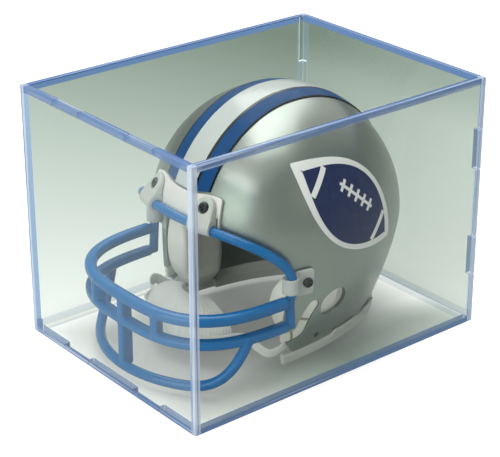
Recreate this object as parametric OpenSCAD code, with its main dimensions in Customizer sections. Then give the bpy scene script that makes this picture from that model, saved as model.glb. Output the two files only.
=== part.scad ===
// Display case with a miniature football helmet inside.
// Millimetres. +Z is up, the origin is the middle of the case's underside.
// The helmet faces -Y, and its left side is +X.

/* [Case] */
// Wall thickness of both case halves
wall = 3; // [2:0.1:4]
// Gap between the two halves along every seam
seam_gap = 0.25; // [0.1:0.05:0.4]
// Room between the helmet's widest point and each side wall
side_room = 5.5; // [3:0.5:15]
// Room between the crown and the lid panel
top_room = 2.5; // [1:0.5:15]
// Room between the face mask and the front wall
front_room = 2.4; // [0.5:0.1:15]
// Room between the back of the shell and the rear wall
rear_room = 10; // [2:0.5:25]
// Length of each snap tab along its seam
tab_l = 20; // [10:1:24]
// Distance between the two tabs of a panel edge
tab_pitch = 56; // [44:1:66]

/* [Shell] */
// Half width of the helmet shell at its widest level
shell_half_w = 56.5; // [52:0.5:60]
// Reach of the shell from its widest section to the brow
shell_front = 58.5; // [55:0.5:62]
// Reach of the shell from its widest section to the back
shell_rear = 62; // [56:0.5:68]
// Height of the crown above the case floor
shell_top = 119.5; // [114:0.5:126]
// Height of the widest level above the case floor
shell_level = 57; // [54:0.5:60]
// Height of the shell's lower edge above the case floor
edge_z = 5; // [4:0.25:7]
// Wall thickness of the shell
shell_t = 2.2; // [1.6:0.1:3]
// Length of each ear hole
ear_l = 15.5; // [15:0.5:18]
// Width of each ear hole
ear_w = 14; // [9:0.5:14.5]
// Width of each jaw slot
slot_w = 6; // [4.4:0.2:6.4]

/* [Mask] */
// Reach from the shell's widest section to the front of the mask
mask_reach = 93.6; // [90:0.2:100]
// Diameter of the brow bar and of the end posts
brow_bar_d = 4.6; // [4:0.1:5.2]
// Height of the upper front bar's section
upper_bar_h = 5.6; // [4.6:0.1:6.4]
// Height of the lower front bar's section
lower_bar_h = 4.6; // [4:0.1:5.4]
// Depth of both front bars
front_bar_d = 6; // [5:0.1:7]
// Diameter of the chin loop
chin_loop_d = 5; // [4.4:0.1:5.6]
// Height of the brow bar at the middle of the brow
brow_bar_z = 70.4; // [68:0.2:71.6]
// Height of the upper front bar
upper_bar_z = 38.2; // [37:0.2:40]
// Height of the lower front bar
lower_bar_z = 26.2; // [24:0.2:27]
// Width of the upright struts
strut_w = 4.5; // [3.5:0.1:5.5]
// Depth of the upright struts
strut_d = 6.6; // [5:0.1:7.5]

/* [Fittings] */
// Diameter of the screw shanks
screw_d = 2.8; // [2:0.1:3.2]
// Diameter of the screw heads
head_d = 4.8; // [4:0.1:5.6]
// Height of the screw heads
head_h = 1.7; // [1.2:0.1:2.2]
// Width of the nuts across their flats
nut_w = 5.5; // [4.5:0.1:6]
// Thickness of the nuts
nut_h = 2; // [1.5:0.1:3]
// Wall of the bar clips
clip_t = 1.5; // [1.2:0.1:1.8]
// Width of the bar clips
clip_w = 12; // [9:0.5:13]
// Height of the side clips' loops
side_clip_h = 7.5; // [6:0.5:8]
// Height of the side clips' tongues
tongue_h = 13; // [9:0.5:14]
// Thickness of the brow plate
plate_t = 1.8; // [1.4:0.1:2.4]
// Half width of the brow plate, as an angle round the shell
plate_arc = 26; // [25.5:0.5:30]
// Height of the brow plate's upper edge
plate_top = 82.5; // [82:0.5:85]
// Thickness of the stripes and side emblems
decal_t = 0.25; // [0.2:0.05:0.4]
// Half width of the middle stripe
stripe_half_w = 7.6; // [5:0.2:9]
// Width of each outer stripe
stripe_w = 8; // [4:0.2:9]
// Length of each side emblem
emblem_l = 66; // [40:1:70]
// Height of each side emblem
emblem_h = 38; // [20:1:42]

/* [Soft pieces] */
// Thickness of the jaw pads
jaw_pad_t = 13.5; // [8:0.5:13.5]
// Thickness of the brow, crown and nape pads
liner_t = 7; // [4:0.5:9]
// Half width of the chin cup
cup_half_w = 29.5; // [27:0.5:31]
// Depth of the chin cup
cup_depth = 20; // [17:0.5:22]
// Half height of the chin cup
cup_half_h = 13.5; // [11:0.5:14]
// Wall of the chin cup
cup_t = 2; // [1.4:0.1:2.6]
// Width of the chin straps
strap_w = 5; // [4:0.25:5.5]
// Thickness of the chin straps
strap_t = 0.9; // [0.6:0.1:1.2]
// Height of the neck bumper's lip inside the shell
bumper_lip = 4; // [2:0.5:6]

/* [Hidden] */

// Overrun of cutters past the faces they cut
cut = 1;
// Fit of parts that seat on one another
seat = 0.2;

// Case, worked out from the helmet and the room round it
case_w = 2 * (shell_half_w + side_room + wall);
case_h = shell_top + top_room + 2 * wall;
case_l = mask_reach + front_room + shell_rear + rear_room + 2 * wall;
helmet_y = -case_l / 2 + wall + front_room + mask_reach;

// Shell form below its widest level: how much it narrows, leans forward and tucks in
section_power = 2.18;
tuck_power = 1.5;
tuck_side = 0.22;
tuck_forward = 29;
tuck_rear = 7;
shell_steps = 44;
side_rings = 7;
dome_rings = 11;

// Mask: the arc that the brow bar spans on each side of the brow, and its form
brow_arc = 61.2;
brow_power = 2.5;
front_power = 3;
loop_power = 2;
mask_flare = 0.9;
loop_flare = 6.2;
bar_r = brow_bar_d / 2;
clip_r = bar_r + clip_t + seat / 2;
bar_out = clip_r + 2 * seat;
loop_r = chin_loop_d / 2;
loop_z = loop_r + seat / 4;
loop_rise = lower_bar_z - loop_z;
loop_back = 25.2;
loop_run = 25;
front_margin = 0.6;
plate_rise = 1.6;
plate_round = 1.4;
plate_lap = 1.2;
clip_arc = 6.3;
clip_ease = 0.6;
corner_turn = 8;
lower_bar_c = 0.8;
strut_turn = 66;
bar_sides = 10;
bar_steps = 12;

// Screws on the shell: turn from the brow, and height above the plate's edge or the clip's middle
top_turn = 18.8;
top_rise = 3.1;
side_turn = 68;
side_rise = 0.85;
screw_l = 9;
recess_w = 0.7;
recess_share = 0.6;
// Side clip's tongue: its corners, where it is full height, and its end past the screw
tongue_r = 1.5;
tongue_full = 0.4;
tongue_end = 1.24;
clip_z = upper_bar_z + bar_r + side_clip_h / 2 + 2 * seat;
plate_low = brow_bar_z + clip_r + 3 * seat;
top_z = plate_low + top_rise;
side_z = clip_z + side_rise;

// Jaw: front edge, lower corner, slot and strap hole, as places along Y and Z
jaw_y = -33;
jaw_low_z = 15;
jaw_corner_y = -25;
slot_points = [[-18.7, 30.3], [-21, 26.4], [-22.9, 21.5], [-24.3, 17], [-28.5, 15.6], [-38, 15]];
slot_legs = len(slot_points) - 1;
slot_pad_legs = 2;
ear_y = -6.2;
ear_z = 28.5;
ear_tilt = 24;
ear_taper = 0.94;
peg_y = -11.3;
peg_z = 10;
peg_d = 2.6;

// Clip tabs of the neck bumper on each side: turns where each starts and ends
bumper_tabs = [[20, 33], [41, 51]];
bumper_tab_h = 2.6;

// Jaw pads: middle and half size along Y and Z, and how square the pad is along each
jaw_pad_at = [-16.5, 28];
jaw_pad_half = [14.5, 22];
jaw_pad_square = [5, 2.3];
jaw_pad_soft = 1;
jaw_pad_rim = 0.1;

// Other pads: middle and half size, as an angle round the shell and a height
brow_pad_arc = 30;
brow_pad_z = 93;
brow_pad_half_h = 9;
nape_pad_arc = 28;
nape_pad_z = 33;
nape_pad_half_h = 12;
crown_pad_y = 4;
crown_pad_half = [26, 30];
pad_rim = 0.4;
pad_draft = 0.94;
pad_steps = 10;
relief_run = 4;

// Chin cup and straps
cup_y = -48;
cup_z = 15.5;
cup_turn = 86;
cup_steps = 12;

// Emblem middle and tilt on the side of the shell
emblem_y = 2;
emblem_z = 76;
emblem_tilt = 42;
emblem_tip = 0.5;
emblem_steps = 16;
stripe_steps = 26;
stripe_back_z = 16;
// Share of a stripe's steps that lies over the dome
stripe_over = 0.72;

// Colours, as the photograph shows them
clear_blue = [0.78, 0.86, 0.95, 0.35];
silver = [0.74, 0.76, 0.76];
mask_blue = [0.12, 0.42, 0.74];
stripe_blue = [0.05, 0.20, 0.48];
white = [0.93, 0.94, 0.92];
milky = [0.84, 0.89, 0.88];
dark_grey = [0.20, 0.21, 0.21];
steel = [0.62, 0.63, 0.64];
pad_white = [0.88, 0.89, 0.86];

function unit(v) = v / norm(v);

// Point at an angle on a rounded square of half size 1
function rounded(turn, power) =
  [cos(turn), sin(turn)]
  / pow(pow(abs(cos(turn)), power) + pow(abs(sin(turn)), power), 1 / power);

// Shell section at height z, for a surface set in by d
function tuck(z) =
  z >= shell_level ? 0 : pow((shell_level - z) / (shell_level - edge_z), tuck_power);
function crown_h(d) = shell_top - d - shell_level;
function dome(z, d) =
  z <= shell_level ? 1 : sqrt(max(0, 1 - pow((z - shell_level) / crown_h(d), 2)));
function section_x(z, d) = (shell_half_w * (1 - tuck_side * tuck(z)) - d) * dome(z, d);
function section_y(z) = -tuck_forward * tuck(z);
function section_front(z, d) = (shell_front + section_y(z) - d) * dome(z, d);
function section_rear(z, d) =
  (shell_rear - tuck_rear * tuck(z) - section_y(z) - d) * dome(z, d);

// Point on the shell: angle round it (-90 is the brow), height, and inset
function shell_pt(turn, z, d) =
  let (s = rounded(turn, section_power))
  [
    section_x(z, d) * s.x,
    section_y(z) + (s.y < 0 ? section_front(z, d) : section_rear(z, d)) * s.y,
    z
  ];

// Point on the shell's left side, from its place along Y and Z
function side_pt(y, z, d) =
  let (
    back = y - section_y(z),
    reach = back < 0 ? section_front(z, d) : section_rear(z, d),
    share = 1 - pow(min(1, abs(back) / reach), section_power)
  )
  [section_x(z, d) * pow(share, 1 / section_power), y, z];

// Point on the dome, from its place along X and Y
function dome_pt(x, y, d) =
  let (
    reach = (y < 0 ? shell_front : shell_rear) - d,
    sum = pow(abs(x) / (shell_half_w - d), section_power)
      + pow(abs(y) / reach, section_power),
    shrink = min(1, pow(sum, 1 / section_power))
  )
  [x, y, shell_level + crown_h(d) * sqrt(1 - shrink * shrink)];

// Outward normal and frame of the shell at a point
function round_dir(turn, z) = unit(shell_pt(turn + 1, z, 0) - shell_pt(turn - 1, z, 0));
function up_dir(turn, z) = unit(shell_pt(turn, z + 1, 0) - shell_pt(turn, z - 1, 0));
function out_dir(turn, z) = unit(cross(round_dir(turn, z), up_dir(turn, z)));
function off_shell(turn, z, out) = shell_pt(turn, z, 0) + out * out_dir(turn, z);

// Height of the brow bar at an angle from the middle of the brow
function brow_z(a) =
  upper_bar_z
  + (brow_bar_z - upper_bar_z) * pow(1 - pow(abs(a) / brow_arc, brow_power), 1 / brow_power);

// Brow bar: angle from the middle of the brow to a point at its height
function brow_path(turn) =
  let (s = rounded(turn, brow_power))
  [-90 + brow_arc * s.y, upper_bar_z + (brow_bar_z - upper_bar_z) * s.x];
function brow_pt(turn, out) =
  let (p = brow_path(turn))
  off_shell(p.x, p.y, out);
function brow_edge(turn) =
  let (p = brow_path(turn), q = shell_pt(p.x, p.y, 0))
  [q.y, q.z];

// Lower end of the brow bar, where the front bars and the end post start
post_pt = brow_pt(90, bar_out);
mask_half_w = post_pt.x + mask_flare;

// Front bars and chin loop, as an angle from the left post to the right one
function front_pt(turn, z) =
  let (s = rounded(turn, front_power))
  [mask_half_w * s.x, post_pt.y - (mask_reach + post_pt.y - front_bar_d / 2 - front_margin) * s.y, z];
loop_reach = mask_reach + post_pt.y - loop_r;
loop_start = loop_back / loop_reach;
loop_turn = atan2(loop_start, pow(1 - pow(loop_start, loop_power), 1 / loop_power));
function loop_pt(turn) =
  let (
    s = rounded(turn, loop_power),
    y = post_pt.y - loop_reach * s.y,
    run = (post_pt.y - loop_back - y) / loop_run
  )
  [
    (mask_half_w + loop_flare) * s.x,
    y,
    loop_z + loop_rise * pow(max(0, 1 - run), 3)
  ];

// Regular section of a tube, and a flat section with broken corners
function round_section(r, sides) =
  [for (i = [0:sides - 1]) r * [cos(360 * (i + 0.5) / sides), sin(360 * (i + 0.5) / sides)]];
function oval_section(w, h, sides) =
  [for (p = round_section(0.5, sides)) [w * p.x, h * p.y] / cos(180 / sides)];
function flat_section(w, h, c) =
  [
    [w / 2, c - h / 2], [w / 2, h / 2 - c], [w / 2 - c, h / 2], [c - w / 2, h / 2],
    [-w / 2, h / 2 - c], [-w / 2, c - h / 2], [c - w / 2, -h / 2], [w / 2 - c, -h / 2]
  ];

// Smooth curve through points, with a count of steps between each two
function through(a, b, c, d, t) =
  0.5 * (2 * b + (c - a) * t + (2 * a - 5 * b + 4 * c - d) * t * t
    + (3 * b - a - 3 * c + d) * t * t * t);
function smooth(p, steps) =
  let (n = len(p) - 1)
  [
    for (i = [0:n - 1], k = [0:steps - 1])
      through(p[max(0, i - 1)], p[i], p[i + 1], p[min(n, i + 2)], k / steps),
    p[n]
  ];

function joined(rows) = [for (r = rows) each r];

// Closed solid between an outer and an inner grid of points
module slab(outer, inner) {
  nu = len(outer);
  nv = len(outer[0]);
  n = nu * nv;
  points = concat(joined(outer), joined(inner));
  faces = concat(
    [
      for (i = [0:nu - 2], j = [0:nv - 2])
        let (a = i * nv + j, b = a + nv)
        each [[a, b + 1, b], [a, a + 1, b + 1], [n + a, n + b, n + b + 1], [n + a, n + b + 1, n + a + 1]]
    ],
    [
      for (i = [0:nu - 2])
        let (a = i * nv, b = a + nv, c = a + nv - 1, e = b + nv - 1)
        each [[a, b, n + b], [a, n + b, n + a], [c, n + e, e], [c, n + c, n + e]]
    ],
    [
      for (j = [0:nv - 2])
        let (a = j, c = (nu - 1) * nv + j)
        each [[a, n + a + 1, a + 1], [a, n + a, n + a + 1], [c, c + 1, n + c + 1], [c, n + c + 1, n + c]]
    ]
  );
  polyhedron(points = points, faces = faces);
}

// Tube of one section along a path, with the section's own X square to ref
module sweep(path, section, ref) {
  n = len(path);
  m = len(section);
  points = [
    for (i = [0:n - 1])
      let (
        t = unit(path[min(n - 1, i + 1)] - path[max(0, i - 1)]),
        side = unit(cross(t, ref)),
        up = cross(side, t)
      )
      for (p = section) path[i] + p.x * side + p.y * up
  ];
  last = (n - 1) * m;
  faces = concat(
    [
      for (i = [0:n - 2], k = [0:m - 1])
        let (a = i * m + k, b = i * m + (k + 1) % m)
        each [[a, b + m, a + m], [a, b, b + m]]
    ],
    [for (k = [1:m - 2]) each [[0, k + 1, k], [last, last + k, last + k + 1]]]
  );
  polyhedron(points = points, faces = faces);
}

// Solid dome set in by d, from its lowest height to the crown
module dome_solid(d, low) {
  rings = side_rings + dome_rings;
  heights = [
    for (i = [0:rings - 1])
      i < side_rings
        ? low + (shell_level - low) * i / side_rings
        : shell_level + crown_h(d) * sin(90 * (i - side_rings) / dome_rings)
  ];
  points = concat(
    [for (z = heights, k = [0:shell_steps - 1]) shell_pt(360 * k / shell_steps, z, d)],
    [[0, 0, low], [0, 0, shell_top - d]]
  );
  floor_pt = rings * shell_steps;
  last = (rings - 1) * shell_steps;
  faces = concat(
    [
      for (i = [0:rings - 2], k = [0:shell_steps - 1])
        let (a = i * shell_steps + k, b = i * shell_steps + (k + 1) % shell_steps)
        each [[a, b + shell_steps, b], [a, a + shell_steps, b + shell_steps]]
    ],
    [
      for (k = [0:shell_steps - 1])
        let (next = (k + 1) % shell_steps)
        each [[floor_pt, k, next], [floor_pt + 1, last + next, last + k]]
    ]
  );
  polyhedron(points = points, faces = faces);
}

// Frame on the shell: X runs round it, Y up it and Z out of it
module on_shell(turn, z) {
  p = shell_pt(turn, z, 0);
  x = round_dir(turn, z);
  n = out_dir(turn, z);
  y = cross(n, x);
  multmatrix([
    [x.x, y.x, n.x, p.x],
    [x.y, y.y, n.y, p.y],
    [x.z, y.z, n.z, p.z],
    [0, 0, 0, 1]
  ]) children();
}

// Places of the four mask screws
module at_screws() {
  for (side = [-1, 1]) {
    on_shell(-90 + side * top_turn, top_z) children(0);
    on_shell(-90 + side * side_turn, side_z) children(1);
  }
}

module in_case() {
  translate([0, helmet_y, wall]) children();
}

// Block between two corners
module block(low, high) {
  translate(low) cube(high - low);
}

// Snap tabs of one panel edge, along X, reaching across one wall
module edge_tabs(play) {
  for (side = [-1, 1])
    translate([side * tab_pitch / 2, 0, 0])
      cube([tab_l + 2 * play, 2 * wall, wall + play], center = true);
}

module lid_tabs(play) {
  for (z = [wall / 2, case_h - wall / 2])
    translate([0, wall - case_l / 2, z]) edge_tabs(play);
}

module wall_tabs(play) {
  for (side = [-1, 1])
    translate([side * (case_w - wall) / 2, case_l / 2 - wall, case_h / 2])
      rotate([0, 90, 0]) edge_tabs(play);
}

// Front wall and both long side walls, moulded in one
module case_front_half() {
  inner_x = case_w / 2 - wall;
  color(clear_blue) {
    difference() {
      block([-case_w / 2, -case_l / 2, 0], [case_w / 2, wall - case_l / 2, case_h]);
      lid_tabs(seam_gap);
    }
    for (side = [-1, 1])
      translate([side * (inner_x + wall / 2) - wall / 2, wall - case_l / 2, 0])
        cube([wall, case_l - 2 * wall - seam_gap, case_h]);
    intersection() {
      wall_tabs(0);
      block([-case_w, 0, 0], [case_w, case_l / 2, case_h]);
    }
  }
}

// Lid panel, rear wall and floor panel, moulded in one
module case_rear_half() {
  half_w = case_w / 2 - wall - seam_gap;
  color(clear_blue) {
    difference() {
      block([-case_w / 2, case_l / 2 - wall, 0], [case_w / 2, case_l / 2, case_h]);
      wall_tabs(seam_gap);
    }
    for (z = [0, case_h - wall])
      block(
        [-half_w, wall + seam_gap - case_l / 2, z],
        [half_w, case_l / 2 - wall, z + wall]
      );
    intersection() {
      lid_tabs(0);
      block([-case_w, -case_l / 2, 0], [case_w, 0, case_h]);
    }
  }
}

// Face opening, seen from the side and cut right across the shell
module face_cut() {
  steps = 14;
  edge = [for (i = [0:steps]) brow_edge(90 * i / steps)];
  far_y = -mask_reach;
  rotate([90, 0, 90])
    linear_extrude(height = 3 * shell_half_w, center = true)
      polygon(concat(
        [[far_y, brow_bar_z]],
        edge,
        [
          [jaw_y, jaw_low_z],
          [jaw_corner_y, edge_z],
          [jaw_corner_y, edge_z - 2 * cut],
          [far_y, edge_z - 2 * cut]
        ]
      ));
}

// Round rod across one side of the shell, at a place along Y and Z
module cross_rod(p, d) {
  translate([0, p.x, p.y])
    rotate([0, 90, 0]) cylinder(h = 2 * shell_half_w, d = d, $fn = 24);
}

// Run of the jaw slot across the left side, from its upper end over a count of its legs
module slot_run(d, legs) {
  for (i = [0:legs - 1])
    hull() {
      cross_rod(slot_points[i], d);
      cross_rod(slot_points[i + 1], d);
    }
}

// Holes in the left side: jaw slot, ear hole and strap hole
module side_holes() {
  slot_run(slot_w, slot_legs);
  half = (ear_l - ear_w) / 2;
  hull()
    for (end = [-1, 0, 1])
      cross_rod(
        [ear_y + end * half * cos(ear_tilt), ear_z + end * half * sin(ear_tilt)],
        ear_w * (end == 0 ? 1 : ear_taper)
      );
  cross_rod([peg_y, peg_z], peg_d + 2 * seat);
}

module helmet_shell() {
  color(silver) in_case()
    difference() {
      dome_solid(0, edge_z);
      dome_solid(shell_t, edge_z - cut);
      face_cut();
      side_holes();
      mirror([1, 0, 0]) side_holes();
      at_screws() {
        cylinder(h = 4 * shell_t, d = screw_d + 2 * seat, center = true, $fn = 20);
        cylinder(h = 4 * shell_t, d = screw_d + 2 * seat, center = true, $fn = 20);
      }
    }
}

// Brow bar with both end posts, grown by play
module brow_bar(play) {
  steps = bar_steps;
  path = [for (i = [-steps:steps]) brow_pt(90 * i / steps, bar_out)];
  sweep(path, round_section(bar_r + play, bar_sides), [0, 1, 0]);
}

module end_post(play) {
  hull() {
    translate(post_pt) sphere(r = bar_r + play, $fn = 16);
    translate(front_pt(0, lower_bar_z)) sphere(r = bar_r + play, $fn = 16);
  }
}

// Upright strut between two heights
module strut(p, low, high, turn) {
  translate([p.x, p.y, 0])
    rotate(turn)
      hull()
        for (z = [low, high])
          translate([0, strut_d / 2 - front_bar_d / 2, z])
            cube([strut_w, strut_d, lower_bar_h / 2], center = true);
}

module facemask() {
  steps = 2 * bar_steps;
  turns = [for (i = [0:steps]) corner_turn / 2 + (180 - corner_turn) * i / steps];
  loop_turns = [for (i = [0:steps]) loop_turn + (180 - 2 * loop_turn) * i / steps];
  upper_section = oval_section(front_bar_d, upper_bar_h, bar_sides);
  lower_section = flat_section(front_bar_d, lower_bar_h, lower_bar_c);
  middle = front_pt(90, 0);
  color(mask_blue) in_case() {
    brow_bar(0);
    sweep([for (t = turns) front_pt(t, upper_bar_z)], upper_section, [0, 0, 1]);
    sweep([for (t = turns) front_pt(t, lower_bar_z)], lower_section, [0, 0, 1]);
    sweep([for (t = loop_turns) loop_pt(t)], round_section(loop_r, bar_sides), [0, 1, 0]);
    strut(middle, lower_bar_z, upper_bar_z, 0);
    strut(middle, loop_z + loop_r / 2, lower_bar_z, 0);
    for (side = [-1, 1]) {
      mirror([side < 0 ? 1 : 0, 0, 0]) {
        end_post(0);
        strut(front_pt(strut_turn, 0), lower_bar_z, upper_bar_z, 90 - strut_turn);
        for (p = [post_pt, front_pt(0, lower_bar_z)])
          hull() {
            translate(p) sphere(r = bar_r, $fn = 16);
            translate(front_pt(corner_turn, p.z)) sphere(r = (lower_bar_h - seat) / 2, $fn = 16);
          }
      }
    }
  }
}

// Height of the brow plate's upper edge, which rises from its middle to the screws
function plate_edge(a) = plate_top + plate_rise * pow(sin(90 * min(1, abs(a) / top_turn)), 4);

// White plate on the brow, notched round the top clips and down to the brow bar elsewhere
module brow_plate() {
  steps = 58;
  rows = 4;
  grid = function(d) [
    for (i = [0:steps])
      let (
        a = -plate_arc + 2 * plate_arc * i / steps,
        top = plate_edge(a) - plate_round * pow(abs(a) / plate_arc, 20),
        clear = max(0, min(1, (abs(abs(a) - top_turn) - clip_arc) / clip_ease)),
        low = plate_low + (brow_z(a) + plate_lap - plate_low) * clear
      )
      [for (j = [0:rows]) shell_pt(-90 + a, low + (top - low) * j / rows, d)]
  ];
  color(white) in_case()
    difference() {
      slab(grid(-seat / 2 - plate_t), grid(-seat / 2));
      for (side = [-1, 1])
        on_shell(-90 + side * top_turn, top_z)
          cylinder(h = 8 * plate_t, d = screw_d + 2 * seat, center = true, $fn = 20);
    }
}

// Height of the clips' screw faces above the shell
top_face = plate_t + 2 * seat + clip_t;
side_face = 3 * seat + clip_t;

// Room for a screw and its head, which seats at a height
module screw_room(face) {
  cylinder(h = 4 * face, d = screw_d + 2 * seat, center = true, $fn = 24);
  translate([0, 0, face]) cylinder(h = 4 * head_h, d = head_d + 4 * seat, $fn = 32);
}

// Left top clip: a loop round the brow bar and a tongue under its screw
module top_clip() {
  turn = -90 + top_turn;
  difference() {
    hull() {
      on_shell(turn, brow_bar_z)
        translate([0, 0, bar_out])
          rotate([0, 90, 0]) cylinder(h = clip_w, r = clip_r, center = true, $fn = 32);
      on_shell(turn, top_z)
        translate([0, 0, top_face - clip_t]) cylinder(h = clip_t, d = clip_w - 2, $fn = 32);
    }
    brow_bar(seat / 2);
    on_shell(turn, top_z) {
      screw_room(top_face);
      translate([-clip_w, plate_low - top_z - 5 * seat, top_face - clip_t - 2 * clip_w])
        cube(2 * clip_w);
    }
  }
}

// One step of the side clip's tongue, from the loop (0) past the screw (1)
module tongue_step(share) {
  turn = brow_arc + (side_turn - brow_arc) * share;
  h = side_clip_h + (tongue_h - side_clip_h) * min(1, share / tongue_full);
  on_shell(turn - 90, clip_z + (side_z - clip_z) * min(1, share))
    for (end = [-1, 1])
      translate([0, end * (h / 2 - tongue_r), side_face - clip_t])
        cylinder(h = clip_t, r = tongue_r, $fn = 16);
}

// Left side clip: a loop round the end post and a tongue that follows the shell to its screw
module side_clip() {
  steps = 9;
  difference() {
    union() {
      translate([0, 0, clip_z - post_pt.z])
        translate(brow_pt(88, bar_out))
          cylinder(h = side_clip_h, r = clip_r, center = true, $fn = 24);
      for (i = [0:steps - 1])
        hull() {
          tongue_step(tongue_end * i / steps);
          tongue_step(tongue_end * (i + 1) / steps);
        }
    }
    brow_bar(seat / 2);
    end_post(seat / 2);
    on_shell(-90 + side_turn, side_z) screw_room(side_face);
  }
}

module top_clip_left() {
  color(milky) in_case() top_clip();
}

module top_clip_right() {
  color(milky) in_case() mirror([1, 0, 0]) top_clip();
}

module side_clip_left() {
  color(milky) in_case() side_clip();
}

module side_clip_right() {
  color(milky) in_case() mirror([1, 0, 0]) side_clip();
}

// Round-headed screw with a cross recess, its head seated at a height
module screw(face) {
  difference() {
    union() {
      translate([0, 0, face + seat / 2]) cylinder(h = head_h, d = head_d, $fn = 32);
      translate([0, 0, face - screw_l]) cylinder(h = screw_l + head_h, d = screw_d, $fn = 24);
    }
    for (turn = [0, 90])
      translate([0, 0, face + seat / 2 + head_h])
        rotate(turn) cube([head_d * recess_share, recess_w, 2 * recess_w], center = true);
  }
}

module mask_screws() {
  color(dark_grey) in_case()
    at_screws() {
      screw(top_face);
      screw(side_face);
    }
}

// Hexagonal nut against the inside of the shell
module nut() {
  translate([0, 0, -shell_t - 2 * seat - nut_h])
    difference() {
      cylinder(h = nut_h, d = nut_w / cos(30), $fn = 6);
      translate([0, 0, -cut]) cylinder(h = nut_h + 2 * cut, d = screw_d + seat / 2, $fn = 24);
    }
}

module mask_nuts() {
  color(steel) in_case()
    at_screws() {
      nut();
      nut();
    }
}

// Square of half size 1 with its corners drawn in, to a disc where soft is 1
function cushion(s, t, soft) = [s * sqrt(1 - soft * t * t / 2), t * sqrt(1 - soft * s * s / 2)];
function crown_of(p, rim) = rim + (1 - rim) * sqrt(max(0, 1 - p.x * p.x - p.y * p.y));

// Crowned pad on the inside of the shell
module wall_pad(at, half, thick, rim) {
  base = shell_t + 2 * seat;
  steps = [for (i = [0:pad_steps]) 2 * i / pad_steps - 1];
  grid = function(share, thick) [
    for (s = steps)
      [
        for (t = steps)
          let (p = cushion(s, t, 1))
          shell_pt(
            at.x + half.x * share * p.x,
            at.y + half.y * share * p.y,
            base + thick * crown_of(p, rim)
          )
      ]
  ];
  slab(grid(1, 0), grid(pad_draft, thick));
}

// Left jaw pad's tab, which fills the jaw slot and joins the pad along the slot's upper legs
module slot_tab() {
  for (part = [[slot_legs, shell_t], [slot_pad_legs, shell_t + 2 * seat + cut]])
    intersection() {
      difference() {
        dome_solid(seat, edge_z);
        dome_solid(part.y, edge_z - cut);
        face_cut();
      }
      slot_run(slot_w - 2 * seat, part.x);
    }
}

// Left jaw pad, a half-round cushion along Y. It is eased off the shell where the chin strap
// passes behind it, and hollowed round the side clip's nut.
module jaw_pad() {
  base = shell_t + 2 * seat;
  relief = strap_t + 4 * seat;
  relief_top = peg_z + strap_w / 2 + relief_run + cut;
  eased = function(z) base + relief * max(0, min(1, (relief_top - z) / relief_run));
  fall = function(s, power) pow(max(0, 1 - pow(abs(s), power)), 1 / power);
  steps = [for (i = [0:pad_steps]) sin(180 * i / pad_steps - 90)];
  grid = function(thick) [
    for (s = steps)
      [
        for (t = steps)
          let (
            p = cushion(s, t, jaw_pad_soft),
            y = jaw_pad_at.x + jaw_pad_half.x * p.x,
            z = jaw_pad_at.y + jaw_pad_half.y * p.y,
            rise = fall(s, jaw_pad_square.x) * fall(t, jaw_pad_square.y)
          )
          side_pt(y, z, eased(z) + thick * (jaw_pad_rim + (1 - jaw_pad_rim) * rise))
      ]
  ];
  difference() {
    slab(grid(0), grid(jaw_pad_t));
    on_shell(-90 + side_turn, side_z)
      translate([0, 0, -screw_l]) cylinder(h = screw_l, d = nut_w / cos(30) + 6 * seat, $fn = 24);
  }
  slot_tab();
}

module jaw_pad_left() {
  color(pad_white) in_case() jaw_pad();
}

module jaw_pad_right() {
  color(pad_white) in_case() mirror([1, 0, 0]) jaw_pad();
}

module brow_pad() {
  color(pad_white) in_case()
    wall_pad([-90, brow_pad_z], [brow_pad_arc, brow_pad_half_h], liner_t, pad_rim);
}

module nape_pad() {
  color(pad_white) in_case()
    wall_pad([90, nape_pad_z], [nape_pad_arc, nape_pad_half_h], liner_t, pad_rim);
}

module crown_pad() {
  base = shell_t + 2 * seat;
  steps = [for (i = [0:pad_steps]) 2 * i / pad_steps - 1];
  grid = function(thick, share) [
    for (s = steps)
      [
        for (t = steps)
          let (p = cushion(s, t, 1), q = p * share)
          dome_pt(
            crown_pad_half.x * q.x,
            crown_pad_y + crown_pad_half.y * q.y,
            base + thick * crown_of(p, pad_rim)
          )
      ]
  ];
  color(pad_white) in_case() slab(grid(0, 1), grid(liner_t, pad_draft));
}

// Point on the chin cup: turn from its front, rise, and inset
function cup_pt(turn, rise, d) =
  [
    (cup_half_w - d) * sin(turn) * cos(rise),
    cup_y - (cup_depth - d) * cos(turn) * cos(rise),
    cup_z + (cup_half_h - d) * sin(rise)
  ];

module chin_cup() {
  rise_end = 74;
  grid = function(d) [
    for (i = [0:cup_steps])
      [
        for (j = [0:cup_steps])
          cup_pt(cup_turn * (2 * i / cup_steps - 1), rise_end * (2 * j / cup_steps - 1), d)
      ]
  ];
  color(white) in_case() slab(grid(0), grid(cup_t));
}

// Chin strap on the left: from the cup's end, by way of some points, to its peg in the shell
strap_out = shell_t + seat + strap_t;
strap_off = strap_t / 2 + 3 * seat;
strap_lean = (section_x(peg_z + 1, 0) - section_x(peg_z - 1, 0)) / 2;
cup_end = cup_pt(cup_turn, 0, -strap_off);
slack_way = [
  cup_end + [2.4, 6.4, -2],
  cup_end + [5, 10.4, -7],
  cup_end + [8.4, 14, -9.9],
  side_pt(jaw_corner_y - 6.5, peg_z - 3.2, strap_out)
];
taut_way = [
  cup_end + [3.4, -0.4, 0.6],
  cup_end + [9, 4, 0.8],
  cup_end + [13.6, 10.4, -1.2],
  side_pt(jaw_corner_y - 7, peg_z - 0.8, strap_out + seat)
];

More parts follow.
